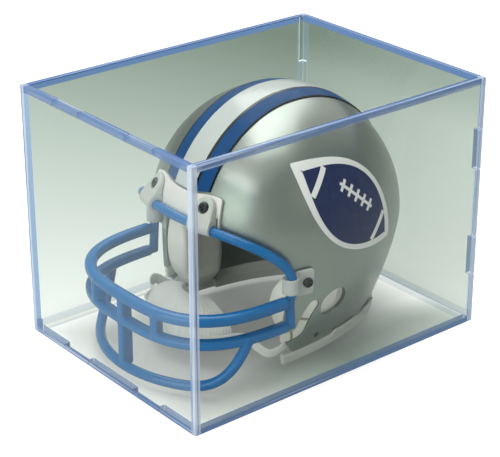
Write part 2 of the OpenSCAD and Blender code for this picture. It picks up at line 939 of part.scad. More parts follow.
module chin_strap(way) {
  lap = 26;
  run = peg_y - jaw_corner_y;
  path = smooth(
    concat(
      [for (t = [lap, lap / 2, 0]) cup_pt(cup_turn - t, 0, -strap_off)],
      way,
      [
        side_pt(jaw_corner_y, peg_z - seat, strap_out),
        side_pt(peg_y - run / 2, peg_z, strap_out),
        side_pt(peg_y + strap_w / 2, peg_z, strap_out)
      ]
    ),
    3
  );
  sweep(path, flat_section(strap_t, strap_w, strap_t / 4), [strap_lean, 0, 1]);
  translate(side_pt(peg_y, peg_z, strap_out))
    rotate([0, 90, 0]) cylinder(h = strap_out - shell_t / 2, d = peg_d, $fn = 24);
}

module chin_strap_left() {
  color(white) in_case() chin_strap(slack_way);
}

module chin_strap_right() {
  color(white) in_case() mirror([1, 0, 0]) chin_strap(taut_way);
}

// Band that follows the shell between two turns, two insets and two heights
module edge_band(turns, insets, heights, steps) {
  grid = function(d) [
    for (i = [0:steps])
      let (a = turns.x + (turns.y - turns.x) * i / steps)
      [for (z = heights) shell_pt(a, z, d)]
  ];
  slab(grid(insets.x), grid(insets.y));
}

// White bumper under the shell's lower edge, from jaw to jaw round the nape
module neck_bumper() {
  steps = 40;
  start = -4;
  lip_start = 17;
  proud = 0.9;
  lip = [shell_t + 3 * seat, shell_t + 9 * seat];
  top = edge_z - seat / 2;
  foot = function(d, tip_d) [
    for (i = [0:steps])
      let (
        a = start + (180 - 2 * start) * i / steps,
        p = shell_pt(a, edge_z, min(a, 180 - a) < lip_start ? tip_d : d)
      )
      [for (z = [0, top]) [p.x, p.y, z]]
  ];
  color(white) in_case() {
    slab(foot(-proud, -proud), foot(lip.y, shell_t));
    edge_band([lip_start, 180 - lip_start], lip, [top - cut, edge_z + bumper_lip], steps);
    for (side = [0, 1], tab = bumper_tabs)
      mirror([side, 0, 0])
        edge_band(tab, [-2 * proud, -seat], [cut, edge_z + bumper_tab_h], 4);
  }
}

// Angle from the middle of the brow to a place across the shell, at a height
function brow_turn(x, z) =
  let (s = min(1, abs(x) / section_x(z, 0)))
  atan2(s, pow(1 - pow(s, section_power), 1 / section_power));

// Point along a stripe: from the plate on the brow over the crown and down the back
function stripe_pt(x, s, d) =
  let (
    side = pow(abs(x) / (shell_half_w - d), section_power),
    high = crown_h(d) * sqrt(1 - pow(side, 2 / section_power)),
    front_z = plate_edge(brow_turn(x, plate_top)) + 2 * seat,
    start = asin((front_z - shell_level) / high),
    turn = start + (180 - start) * min(1, s / stripe_over),
    z = shell_level + high * sin(turn),
    left = max(0, pow(dome(z, d), section_power) - side),
    reach = (turn < 90 ? -(shell_front - d) : shell_rear - d),
    low_z = shell_level - (shell_level - stripe_back_z) * (s - stripe_over) / (1 - stripe_over),
    share = 1 - pow(abs(x) / section_x(low_z, d), section_power)
  )
  s <= stripe_over
    ? [x, reach * pow(left, 1 / section_power), z]
    : [x, section_y(low_z) + section_rear(low_z, d) * pow(share, 1 / section_power), low_z];

module stripe(low_x, high_x) {
  columns = 4;
  base = -1.5 * seat;
  grid = function(d) [
    for (i = [0:columns])
      [for (j = [0:stripe_steps]) stripe_pt(low_x + (high_x - low_x) * i / columns, j / stripe_steps, d)]
  ];
  slab(grid(base - decal_t), grid(base));
}

module middle_stripe() {
  color(white) in_case() stripe(-stripe_half_w, stripe_half_w);
}

module left_stripe() {
  color(stripe_blue) in_case() stripe(stripe_half_w + seat, stripe_half_w + seat + stripe_w);
}

module right_stripe() {
  color(stripe_blue) in_case() stripe(-stripe_half_w - seat - stripe_w, -stripe_half_w - seat);
}

// Plain ball-shaped emblem on the left side
module emblem() {
  base = -1.5 * seat;
  rows = 6;
  grid = function(d) [
    for (i = [0:emblem_steps])
      let (s = 2 * i / emblem_steps - 1, h = emblem_tip + (emblem_h / 2 - emblem_tip) * (1 - s * s))
      [
        for (j = [0:rows])
          let (
            a = s * emblem_l / 2,
            b = h * (2 * j / rows - 1),
            y = emblem_y + a * cos(emblem_tilt) + b * sin(emblem_tilt),
            z = emblem_z - a * sin(emblem_tilt) + b * cos(emblem_tilt)
          )
          side_pt(y, z, d)
      ]
  ];
  slab(grid(base - decal_t), grid(base));
}

module left_emblem() {
  color(stripe_blue) in_case() emblem();
}

module right_emblem() {
  color(stripe_blue) in_case() mirror([1, 0, 0]) emblem();
}

case_front_half();
case_rear_half();
helmet_shell();
facemask();
brow_plate();
top_clip_left();
top_clip_right();
side_clip_left();
side_clip_right();
mask_screws();
mask_nuts();
jaw_pad_left();
jaw_pad_right();
brow_pad();
crown_pad();
nape_pad();
chin_cup();
chin_strap_left();
chin_strap_right();
neck_bumper();
middle_stripe();
left_stripe();
right_stripe();
left_emblem();
right_emblem();
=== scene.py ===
"""Dressed model of a clear display case with a miniature football helmet on show inside it."""

import logging
import math
from contextlib import contextmanager
from dataclasses import dataclass, field, fields
from enum import Enum
from functools import reduce
from typing import Callable, Iterator, Sequence

import bpy
import numpy as np
from mathutils import Matrix, Vector


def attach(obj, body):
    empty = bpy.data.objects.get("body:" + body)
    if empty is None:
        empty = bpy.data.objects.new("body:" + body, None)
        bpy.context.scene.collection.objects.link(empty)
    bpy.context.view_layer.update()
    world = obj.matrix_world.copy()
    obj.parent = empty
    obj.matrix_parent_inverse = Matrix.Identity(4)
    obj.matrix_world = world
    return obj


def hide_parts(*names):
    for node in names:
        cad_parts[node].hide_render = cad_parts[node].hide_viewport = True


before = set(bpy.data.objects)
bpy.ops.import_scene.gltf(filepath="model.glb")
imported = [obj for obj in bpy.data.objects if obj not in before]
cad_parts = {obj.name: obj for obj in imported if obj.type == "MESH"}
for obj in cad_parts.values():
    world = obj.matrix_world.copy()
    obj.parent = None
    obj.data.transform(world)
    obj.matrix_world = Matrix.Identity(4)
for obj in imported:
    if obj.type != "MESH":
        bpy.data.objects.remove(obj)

LOG = logging.getLogger("display_case")
MM = 0.001
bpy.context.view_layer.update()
HELMET_AT = np.array([0.0, 12.0, 3.0])
SLOT_W = 6.0
SLOT_POINTS = (
    (-18.7, 30.3), (-21.0, 26.4), (-22.9, 21.5), (-24.3, 17.0), (-28.5, 15.6), (-38.0, 15.0),
)

Points = np.ndarray
Surface = Callable[[Points, Points], Points]
Outline = Callable[[Points, Points], tuple[Points, Points]]
Pair = tuple[float, float]
Triple = tuple[float, float, float]
Colour = Triple
Piece = bpy.types.Object
Material = bpy.types.Material
Socket = bpy.types.NodeSocket
Finishes = dict[str, Material]


class Body(Enum):
    """The two bodies of the case: the helmet stands on the rear half's floor."""

    REAR = "rear_half"
    FRONT = "front_half"


class Side(Enum):
    """The wearer's left (+X, towards the camera) and right (-X)."""

    LEFT = 1.0
    RIGHT = -1.0

    @property
    def word(self) -> str:
        """The side's name as it stands in the names of pieces."""
        return self.name.lower()

    @property
    def flip(self) -> Points:
        """Factors that carry a point of the left side to this side."""
        return np.array([self.value, 1.0, 1.0])


# Mesh tools


def activate(obj: Piece) -> None:
    """Selects one object alone and makes it active."""
    bpy.ops.object.select_all(action="DESELECT")
    obj.select_set(True)
    bpy.context.view_layer.objects.active = obj


@contextmanager
def editing(obj: Piece, select: str = "SELECT") -> Iterator[None]:
    """Opens a piece in edit mode and closes it again.

    Args:
        obj: The piece.
        select: SELECT for all of it, DESELECT for none, or KEEP for what is selected already.

    Yields:
        Nothing, while the piece is open.
    """
    activate(obj)
    bpy.ops.object.mode_set(mode="EDIT")
    if select != "KEEP":
        bpy.ops.mesh.select_all(action=select)
    yield
    bpy.ops.object.mode_set(mode="OBJECT")


def primitive(add: Callable[..., object], **settings: object) -> Piece:
    """Adds a primitive mesh with one of Blender's operators and applies its place and scale."""
    bpy.ops.object.select_all(action="DESELECT")
    add(**settings)
    bpy.ops.object.transform_apply(location=True, rotation=True, scale=True)
    return bpy.context.object


def named(obj: Piece, name: str) -> Piece:
    """Names an object and its mesh alike, and returns it."""
    obj.name = name
    obj.data.name = name
    return obj


def lay_grid(name: str, across: int, along: int, place: Surface) -> Piece:
    """Adds a grid and lays its points on a curved surface.

    Args:
        name: Name of the new piece.
        across: Faces along the grid's first direction, u.
        along: Faces along the grid's second direction, v.
        place: Gives millimetre points in the helmet's frame for arrays of u and v, 0 to 1.

    Returns:
        The new sheet.
    """
    sheet = named(primitive(
        bpy.ops.mesh.primitive_grid_add, x_subdivisions=across, y_subdivisions=along, size=1.0
    ), name)
    flat = np.empty(len(sheet.data.vertices) * 3)
    sheet.data.vertices.foreach_get("co", flat)
    flat = flat.reshape(-1, 3)
    points = (place(flat[:, 0] + 0.5, flat[:, 1] + 0.5) + HELMET_AT) * MM
    sheet.data.vertices.foreach_set("co", points.ravel())
    sheet.data.update()
    return sheet


def weld(obj: Piece, gap: float = 0.01, fill: bool = False) -> Piece:
    """Merges a piece's doubles, closes it if asked, and turns its faces outwards.

    Args:
        obj: The piece.
        gap: Distance under which points are merged, in millimetres.
        fill: Whether open ends are closed with faces.

    Returns:
        The same piece.
    """
    with editing(obj):
        bpy.ops.mesh.remove_doubles(threshold=gap * MM)
        if fill:
            bpy.ops.mesh.fill_holes(sides=0)
            bpy.ops.mesh.select_all(action="SELECT")
        bpy.ops.mesh.normals_make_consistent(inside=False)
    return obj


def finish_with(obj: Piece, kind: str, **settings: object) -> Piece:
    """Adds a modifier, sets it and applies it.

    Args:
        obj: The piece.
        kind: Blender's name of the modifier.
        **settings: Values of the modifier's own properties.

    Returns:
        The same piece.
    """
    activate(obj)
    modifier = obj.modifiers.new(kind.title(), kind)
    for key, value in settings.items():
        setattr(modifier, key, value)
    bpy.ops.object.modifier_apply(modifier=modifier.name)
    return obj


def join(name: str, parts: Sequence[Piece]) -> Piece:
    """Joins parts into one piece under a new name."""
    activate(parts[0])
    for part in parts:
        part.select_set(True)
    bpy.ops.object.join()
    return named(bpy.context.object, name)


def shade(obj: Piece, angle: float = 40.0) -> Piece:
    """Shades a piece smooth, with edges above an angle in degrees kept sharp."""
    activate(obj)
    bpy.ops.object.shade_smooth_by_angle(angle=math.radians(angle))
    return obj


def round_edges(obj: Piece, width: float, angle: float = 40.0) -> Piece:
    """Rounds a piece's sharp edges by a width in millimetres."""
    return finish_with(
        obj, "BEVEL", width=width * MM, segments=3, limit_method="ANGLE",
        angle_limit=math.radians(angle), harden_normals=False,
    )


def fuse(obj: Piece, voxel: float, passes: int) -> Piece:
    """Fuses overlapping parts into one moulded skin.

    Args:
        obj: The piece, made of closed parts that overlap.
        voxel: Size of the new skin's faces, in millimetres.
        passes: Smoothing passes, which fillet the inner corners.

    Returns:
        The same piece.
    """
    finish_with(obj, "REMESH", mode="VOXEL", voxel_size=voxel * MM, use_smooth_shade=True)
    return finish_with(obj, "SMOOTH", factor=0.5, iterations=passes)


def cut(obj: Piece, cutter: Piece) -> None:
    """Cuts one closed shape out of a piece and removes the cutter."""
    finish_with(obj, "BOOLEAN", operation="DIFFERENCE", solver="EXACT", object=cutter)
    bpy.data.objects.remove(cutter)


def copy_node(node: str, name: str) -> Piece:
    """Copies a CAD node's mesh into a new, welded piece at the origin."""
    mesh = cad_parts[node].data.copy()
    mesh.materials.clear()
    piece = bpy.data.objects.new(name, mesh)
    bpy.context.scene.collection.objects.link(piece)
    return weld(named(piece, name), gap=0.002)


def unit(vectors: Points) -> Points:
    """Scales vectors to length 1."""
    return vectors / np.linalg.norm(vectors, axis=-1, keepdims=True)


def lay_tube(
    name: str, steps: int, points: int, place: Callable[[Points, Points], Points]
) -> Piece:
    """Lays a closed section along a run, with both ends capped.

    Args:
        name: Name of the new piece.
        steps: Steps along the run.
        points: Points of the section.
        place: Gives millimetre points for arrays of steps and of the section's points.

    Returns:
        The new piece.
    """

    def surface(u: Points, v: Points) -> Points:
        """Point of the tube from the grid's shares."""
        return place(np.rint(u * steps).astype(int), np.rint(v * points).astype(int) % points)

    return weld(lay_grid(name, steps, points, surface), fill=True)


def sweep(
    name: str, path: Points, section: Points, ref: Sequence[float]
) -> Piece:
    """Draws a closed section along a path, with both ends capped.

    Args:
        name: Name of the new piece.
        path: Points of the path, in millimetres.
        section: Outline of the section, one row of two numbers per point.
        ref: Direction that the section's first number stays square to.

    Returns:
        The new piece.
    """
    way = unit(np.vstack([path[1:], path[-1:]]) - np.vstack([path[:1], path[:-1]]))
    side = unit(np.cross(way, np.asarray(ref, float)))
    rise = np.cross(side, way)

    def place(i: Points, k: Points) -> Points:
        """Point of the section at a step along the path."""
        return path[i] + section[k, :1] * side[i] + section[k, 1:] * rise[i]

    return lay_tube(name, len(path) - 1, len(section), place)


def oval(width: float, height: float, power: float = 2.0, points: int = 28) -> Points:
    """Outline of an oval, or of a rounded rectangle where the power is above 2."""
    turns = np.linspace(0.0, 2.0 * math.pi, points, endpoint=False)
    across, up = np.cos(turns), np.sin(turns)
    return np.stack([
        width / 2 * np.sign(across) * np.abs(across) ** (2 / power),
        height / 2 * np.sign(up) * np.abs(up) ** (2 / power),
    ], axis=1)


def through(knots: Sequence[Points], steps: int) -> Points:
    """Smooth curve through knots, with a number of steps between each two."""
    p = np.asarray(knots, float)
    p = np.vstack([p[:1], p, p[-1:]])
    rows = []
    for a, b, c, d in zip(p[:-3], p[1:-2], p[2:-1], p[3:]):
        for t in np.arange(steps) / steps:
            rows.append(0.5 * (
                2 * b + (c - a) * t + (2 * a - 5 * b + 4 * c - d) * t ** 2
                + (3 * b - a - 3 * c + d) * t ** 3
            ))
    return np.vstack(rows + [p[-1]])


def dress(obj: Piece, material: Material) -> None:
    """Gives a piece one material."""
    obj.data.materials.clear()
    obj.data.materials.append(material)


# Node tools


class Recipe:
    """A node tree written one node at a time."""

    def __init__(self, tree: bpy.types.NodeTree) -> None:
        """Starts from an empty tree."""
        self.tree = tree
        tree.nodes.clear()

    def add(
        self, kind: str, inputs: dict[str | int, object] | None = None, **settings: object
    ) -> bpy.types.Node:
        """Adds a node.

        Args:
            kind: Blender's name of the node, without its ShaderNode start.
            inputs: Values or sockets for its inputs, by name or index.
            **settings: Values of the node's own properties.

        Returns:
            The new node.
        """
        node = self.tree.nodes.new("ShaderNode" + kind)
        for key, value in settings.items():
            setattr(node, key, value)
        for key, value in (inputs or {}).items():
            socket = node.inputs[key]
            if isinstance(value, Socket):
                self.tree.links.new(value, socket)
            else:
                socket.default_value = (*value, 1.0) if socket.type == "RGBA" else value
        return node

    def math(self, operation: str, *values: object) -> Socket:
        """Adds a Math node and returns its result."""
        return self.add("Math", dict(enumerate(values)), operation=operation).outputs[0]

    def fold(self, operation: str, *values: object) -> object:
        """Takes values together with one Math operation, such as a product or a maximum."""
        return reduce(lambda first, second: self.math(operation, first, second), values)

    def past(self, value: object, limit: float) -> Socket:
        """Gives 1 where a value lies further from 0 than a limit, and 0 elsewhere."""
        return self.math("GREATER_THAN", self.math("ABSOLUTE", value), limit)

    def axes(self, vector: Socket) -> tuple[Socket, ...]:
        """Splits a vector into its X, Y and Z."""
        return tuple(self.add("SeparateXYZ", {0: vector}).outputs)

    def normal(self) -> tuple[Socket, ...]:
        """X, Y and Z of the surface's direction."""
        return self.axes(self.add("NewGeometry").outputs["Normal"])

    def blend(self, share: object, first: object, second: object) -> Socket:
        """Mixes two colours and returns the result."""
        return self.add("Mix", {0: share, 6: first, 7: second}, data_type="RGBA").outputs[2]

    def band(self, value: object, low: float, high: float) -> Socket:
        """Gives 0 below a low value, 1 above a high one, and a smooth rise between."""
        ramp = self.add(
            "MapRange", {"Value": value, "From Min": low, "From Max": high},
            interpolation_type="SMOOTHSTEP",
        )
        return ramp.outputs["Result"]

    def place(self) -> Socket:
        """Object coordinates, in metres in the case's frame."""
        return self.add("TexCoord").outputs["Object"]

    def output(self, shader: Socket) -> None:
        """Ends the tree with a shader."""
        self.add("OutputMaterial", {"Surface": shader})


def new_recipe(name: str) -> tuple[Material, Recipe]:
    """Makes an empty material and the recipe that fills it."""
    material = bpy.data.materials.new(name)
    material.use_nodes = True
    return material, Recipe(material.node_tree)


def grain_group() -> bpy.types.NodeTree:
    """Node group shared by the painted and moulded finishes.

    Returns:
        A group that varies a colour and a roughness softly over the surface and gives a fine
        height for a bump.
    """
    group = bpy.data.node_groups.new("surface_grain", "ShaderNodeTree")
    for name, kind, default in (
        ("Colour", "Color", (0.8, 0.8, 0.8, 1.0)), ("Tone", "Float", 0.1),
        ("Patch Scale", "Float", 60.0), ("Grain Scale", "Float", 1500.0),
        ("Roughness", "Float", 0.4), ("Roughness Spread", "Float", 0.1),
    ):
        socket = group.interface.new_socket(name, in_out="INPUT", socket_type="NodeSocket" + kind)
        socket.default_value = default
    for name, kind in (("Colour", "Color"), ("Roughness", "Float"), ("Height", "Float")):
        group.interface.new_socket(name, in_out="OUTPUT", socket_type="NodeSocket" + kind)
    fine_share = 0.35
    recipe = Recipe(group)
    source = group.nodes.new("NodeGroupInput").outputs
    place = recipe.place()
    patch = recipe.add("TexNoise", {"Vector": place, "Scale": source["Patch Scale"], "Detail": 4.0})
    fine = recipe.add("TexNoise", {"Vector": place, "Scale": source["Grain Scale"], "Detail": 2.0})
    both = recipe.math("MULTIPLY_ADD", fine.outputs["Fac"], fine_share, patch.outputs["Fac"])
    swing = recipe.math("SUBTRACT", both, (1.0 + fine_share) / 2)
    bright = recipe.math("MULTIPLY_ADD", swing, source["Tone"], 1.0)
    colour = recipe.add(
        "VectorMath", {0: source["Colour"], "Scale": bright}, operation="SCALE"
    )
    rough = recipe.math("MULTIPLY_ADD", swing, source["Roughness Spread"], source["Roughness"])
    sink = group.nodes.new("NodeGroupOutput")
    group.links.new(colour.outputs[0], sink.inputs["Colour"])
    group.links.new(rough, sink.inputs["Roughness"])
    group.links.new(fine.outputs["Fac"], sink.inputs["Height"])
    return group


GRAIN = grain_group()


def grained(
    recipe: Recipe, colour: object, tone: float, rough: float, spread: float,
    patch: float, grain: float,
) -> bpy.types.Node:
    """Adds the shared grain group to a recipe and sets its inputs."""
    return recipe.add("Group", {
        "Colour": colour, "Tone": tone, "Patch Scale": patch, "Grain Scale": grain,
        "Roughness": rough, "Roughness Spread": spread,
    }, node_tree=GRAIN)


# Finishes


@dataclass(frozen=True)
class MouldedFinish:
    """Opaque moulded or painted surface with a soft mottle and a fine grain."""

    name: str
    colour: Colour
    tone: float = 0.12
    rough: float = 0.35
    spread: float = 0.15
    patch: float = 70.0
    grain: float = 1800.0
    bump: float = 0.02
    metallic: float = 0.0
    coat: float = 0.0
    coat_rough: float = 0.08
    glow_through: float = 0.0
    glow_depth: float = 2.0
    shine: float = 0.5

    def surface(self, recipe: Recipe) -> object:
        """Colour that the grain starts from, here the plain colour."""
        return self.colour

    def height(self, recipe: Recipe, grain: Socket) -> Socket:
        """Height that the bump takes, here the fine grain."""
        return grain

    def make(self) -> Material:
        """Builds the material.

        Returns:
            The new material.
        """
        material, recipe = new_recipe(self.name)
        grain = grained(
            recipe, self.surface(recipe), self.tone, self.rough, self.spread, self.patch, self.grain
        )
        bump = recipe.add("Bump", {
            "Strength": 0.6, "Distance": self.bump * MM,
            "Height": self.height(recipe, grain.outputs["Height"]),
        })
        shader = recipe.add("BsdfPrincipled", {
            "Base Color": grain.outputs["Colour"], "Roughness": grain.outputs["Roughness"],
            "Metallic": self.metallic, "Coat Weight": self.coat, "Coat Roughness": self.coat_rough,
            "Specular IOR Level": self.shine,
            "Subsurface Weight": self.glow_through, "Subsurface Scale": self.glow_depth * MM,
            "Normal": bump.outputs["Normal"],
        })
        recipe.output(shader.outputs[0])
        return material


@dataclass(frozen=True)
class StripeFinish(MouldedFinish):
    """Stripe film with dark lines along its length, at places across the helmet."""

    line_colour: Colour = (0.006, 0.007, 0.01)
    lines: tuple[Pair, ...] = ()

    def surface(self, recipe: Recipe) -> object:
        """Draws each dark line where X lies between its two edges."""
        x = recipe.axes(recipe.place())[0]
        colour: object = self.colour
        for low, high in self.lines:
            off = recipe.math("SUBTRACT", x, (low + high) / 2 * MM)
            colour = recipe.blend(recipe.past(off, (high - low) / 2 * MM), self.line_colour, colour)
        return colour


@dataclass(frozen=True)
class WovenFinish(MouldedFinish):
    """Narrow woven tape, with ribs across its run."""

    pitch: float = 0.7
    rib_height: float = 3.0

    def height(self, recipe: Recipe, grain: Socket) -> Socket:
        """Adds the ribs to the grain."""
        ribs = recipe.add("TexWave", {
            "Vector": recipe.place(), "Scale": 1.0 / (self.pitch * MM * 6.28), "Distortion": 0.4,
        }, wave_type="BANDS", bands_direction="Y")
        return recipe.math("MULTIPLY_ADD", ribs.outputs["Fac"], self.rib_height, grain)


@dataclass(frozen=True)
class Gradient:
    """A share that changes evenly over the case, by slopes per metre along X, Y and Z."""

    base: float
    slopes: Triple

    def make(self, recipe: Recipe, axes: Sequence[Socket]) -> object:
        """Adds the gradient to a recipe and returns its share."""
        share: object = self.base
        for at, slope in zip(axes, self.slopes):
            share = recipe.math("MULTIPLY_ADD", at, slope, share)
        return share


@dataclass(frozen=True)
class ClearFinish:
    """Clear plastic of the case, with light gathered along its edges.

    Lengths are in millimetres. A ray that enters is tinted faintly. One that leaves by the outer
    skin is tinted by the panel's painted shade, which stands for the darker room behind the case
    and for the helmet's shadow and light on the floor, or by an edge's film where it has run along
    inside an edge.

    Attributes:
        name: Name of the material.
        tint: Colour of a plain crossing.
        far_power: Powers of the painted shade for red, green and blue.
        far_least: Darkest painted shade.
        side_shade: Painted shade of the side walls.
        end_shade: Painted shade of the front and rear wall.
        end_dusk: Heights between which the end walls' painted shade darkens, and by
            how much.
        floor_shade: Painted shade of the lid and floor.
        floor_dip: Where along Y the helmet's painted shadow on the floor is darkest, and
            its slope from there, per metre.
        floor_lit: Places across the floor between which its painted light ends, and that
            light.
        edge_deep: Deep colour of the edges' streaks.
        edge_pale: Pale colour of the edges' streaks, their painted highlights.
        edge_gloss: Share of gloss on an edge.
        streak_scale: Scale of the streaks' noise along an edge and across it.
        streak_rise: How softly the streaks begin.
        pale_from: Noise above which a streak turns to painted highlight, on edges along X, Y and Z.
        upright_film: Colour seen along an upright edge.
        level_film: Colour seen along a level edge.
        middle: Height of the box's middle.
        skin: Half the box's size, a little inside its skin.
        inner: Half sizes inside which a point isn't on an edge.
        leaving: How much wider the edges are where a ray leaves the plastic again.
        rim_at: Where the panels have rims that show once the case is open.
        rim_t: Half the thickness in which a rim is looked for.
        top_from: Height above which an edge belongs to the lid.
        level_from: Distance from the middle above which an edge counts as level.
        first_wall: Crossings below which a ray is still in the first wall.
        second_wall: Crossings below which a ray is in the second wall.
        low_share: Share of an edge's film in the second wall, below the lid.
        facing: How squarely a face has to lie to an axis to be that axis's panel.
        veil: How much the panels mirror head on, and how much more at a slant.
        veil_slant: Slants between which that rise lies.
        veil_colour: Colour of what they mirror.
        veil_level: Loss of the mirroring on level panels.
        haze_scale: Scale of the edges' haze.
        haze_rough: Roughness between which the haze varies.
        index: Refractive index of the edges.
        passing_tint: Colour of the light that lamps send through.
    """

    name: str
    tint: Colour = (0.968, 0.977, 0.964)
    far_power: Colour = (1.15, 1.0, 1.11)
    far_least: float = 0.18
    side_shade: Gradient = Gradient(0.66, (0.0, -1.2, -3.34))
    end_shade: Gradient = Gradient(0.525, (1.4, 0.0, -1.6))
    end_dusk: Triple = (94.0, 121.0, 0.08)
    floor_shade: Gradient = Gradient(0.44, (-1.5, -1.6, 0.0))
    floor_dip: Pair = (12.0, 5.5)
    floor_lit: Triple = (20.0, 50.0, 0.45)
    edge_deep: Colour = (0.085, 0.19, 0.42)
    edge_pale: Colour = (0.58, 0.68, 0.82)
    edge_gloss: float = 0.8
    streak_scale: Pair = (10.0, 900.0)
    streak_rise: float = 0.24
    pale_from: Triple = (0.50, 0.50, 0.30)
    upright_film: Colour = (0.20, 0.30, 0.44)
    level_film: Colour = (0.09, 0.165, 0.32)
    middle: float = 64.0
    skin: Triple = (64.6, 86.6, 63.6)
    inner: Triple = (62.05, 84.05, 61.05)
    leaving: float = 1.4
    rim_at: Pair = (61.75, 83.75)
    rim_t: float = 0.15
    top_from: float = 123.65
    level_from: float = 59.0
    first_wall: float = 1.5
    second_wall: float = 3.5
    low_share: float = 0.25
    facing: float = 0.7
    veil: Pair = (0.005, 0.09)
    veil_slant: Pair = (0.28, 0.46)
    veil_colour: Colour = (0.82, 0.97, 0.98)
    veil_level: float = 0.75
    haze_scale: float = 25.0
    haze_rough: Pair = (0.03, 0.12)
    index: float = 1.49
    passing_tint: Colour = (0.97, 0.98, 0.97)

    def centred(self, recipe: Recipe) -> tuple[Socket, ...]:
        """X, Y and Z of the place, from the middle of the box."""
        x, y, z = recipe.axes(recipe.place())
        return x, y, recipe.math("SUBTRACT", z, self.middle * MM)

    def edge_mask(
        self, recipe: Recipe, outside: Socket
    ) -> tuple[Socket, Socket]:
        """Finds the box's twelve edges and the painted highlight streaks that run along them.

        Args:
            recipe: The material's recipe.
            outside: 1 where a ray enters the plastic and 0 where it leaves it.

        Returns:
            A mask that is 1 on an edge, and the streaks' share of pale colour, their painted
            highlight.
        """
        wider = recipe.math("MULTIPLY", recipe.math("SUBTRACT", 1.0, outside), self.leaving * MM)
        centred = self.centred(recipe)
        reaches = (recipe.math("ADD", recipe.math("ABSOLUTE", at), wider) for at in centred)
        on_side, on_end, on_level = (
            recipe.math("GREATER_THAN", reach, half * MM)
            for reach, half in zip(reaches, self.inner)
        )
        edges, streaks = [], []
        runs = ((on_end, on_level), (on_side, on_level), (on_side, on_end))
        for axis, (faces, pale_from) in enumerate(zip(runs, self.pale_from)):
            scale = [self.streak_scale[1]] * len(runs)
            scale[axis] = self.streak_scale[0]
            edges.append(recipe.math("MULTIPLY", *faces))
            along = recipe.add("Mapping", {"Vector": recipe.place(), "Scale": scale}).outputs[0]
            noise = recipe.add("TexNoise", {"Vector": along, "Scale": 1.0, "Detail": 2.0})
            # Painted highlights: a streak turns pale where the noise rises past its threshold.
            streak = recipe.band(noise.outputs["Fac"], pale_from, pale_from + self.streak_rise)
            streaks.append(recipe.math("MULTIPLY", edges[-1], streak))
        for at, turned, rim in zip(centred, recipe.normal(), self.rim_at):
            off = recipe.math("SUBTRACT", recipe.math("ABSOLUTE", at), rim * MM)
            near = recipe.math("LESS_THAN", recipe.math("ABSOLUTE", off), self.rim_t * MM)
            edges.append(recipe.math("MULTIPLY", near, recipe.past(turned, self.facing)))
        return recipe.fold("MAXIMUM", *edges), recipe.fold("MAXIMUM", *streaks)

    def panel_shade(self, recipe: Recipe) -> Socket:
        """Painted shade of the panel that a ray leaves by, darker towards the lid and the rear."""
        axes = x, y, z = recipe.axes(recipe.place())
        top_shade_from, top_shade_to, top_shade = self.end_dusk
        shadow_y, shadow_slope = self.floor_dip
        lit_from, lit_to, light = self.floor_lit
        # Painted shade that darkens the side walls, end walls and floor by place.
        side = self.side_shade.make(recipe, axes)
        # Painted shade: the end walls turn darker above a height, for the darker room behind the
        # case.
        dark = recipe.band(z, top_shade_from * MM, top_shade_to * MM)
        end = recipe.math("MULTIPLY_ADD", dark, -top_shade, self.end_shade.make(recipe, axes))
        # Painted shadow of the helmet on the floor, darkest at one place along Y and lighter away
        # from it.
        off_shadow = recipe.math("ABSOLUTE", recipe.math("SUBTRACT", y, shadow_y * MM))
        floor = recipe.math("MULTIPLY_ADD", off_shadow, shadow_slope, self.floor_shade.make(recipe, axes))
        # Painted light on the floor inside the helmet and left of it, ending towards the helmet's
        # near side.
        unlit = recipe.band(x, lit_from * MM, lit_to * MM)
        floor = recipe.math("MULTIPLY_ADD", unlit, -light, recipe.math("ADD", floor, light))
        share = recipe.fold("ADD", *(
            recipe.math("MULTIPLY", recipe.past(turned, self.facing), shade)
            for turned, shade in zip(recipe.normal(), (side, end, floor))
        ))
        return recipe.math("MINIMUM", recipe.math("MAXIMUM", share, self.far_least), 1.0)

    def film_colour(
        self, recipe: Recipe, outside: Socket, edge: Socket
    ) -> Socket:
        """Tints the panels: faintly where one looks in, and with painted shade where one looks out
        again.

        Args:
            recipe: The material's recipe.
            outside: 1 where a ray enters the plastic and 0 where it leaves it.
            edge: 1 on an edge of the box.

        Returns:
            The film's colour.
        """
        centred = self.centred(recipe)
        skin = recipe.fold("MAXIMUM", *(
            recipe.past(at, half * MM) for at, half in zip(centred, self.skin)
        ))
        gone = recipe.math("MULTIPLY", skin, recipe.math("SUBTRACT", 1.0, outside))
        depth = recipe.add("LightPath").outputs["Transparent Depth"]
        at_top = recipe.math("GREATER_THAN", centred[2], (self.top_from - self.middle) * MM)
        through = recipe.math(
            "MULTIPLY", recipe.math("LESS_THAN", depth, self.second_wall),
            recipe.math("MAXIMUM", at_top, self.low_share),
        )
        through = recipe.math("MAXIMUM", through, recipe.math("LESS_THAN", depth, self.first_wall))
        in_edge = recipe.fold("MULTIPLY", edge, gone, through)
        level = recipe.past(centred[2], self.level_from * MM)
        edge_film = recipe.blend(level, self.upright_film, self.level_film)
        # Painted shade for the room behind the case and for the helmet's shadow and light on the
        # floor.
        shade = self.panel_shade(recipe)
        powers = dict(enumerate(recipe.math("POWER", shade, power) for power in self.far_power))
        far = recipe.add("CombineXYZ", powers).outputs[0]
        return recipe.blend(in_edge, recipe.blend(gone, self.tint, far), edge_film)

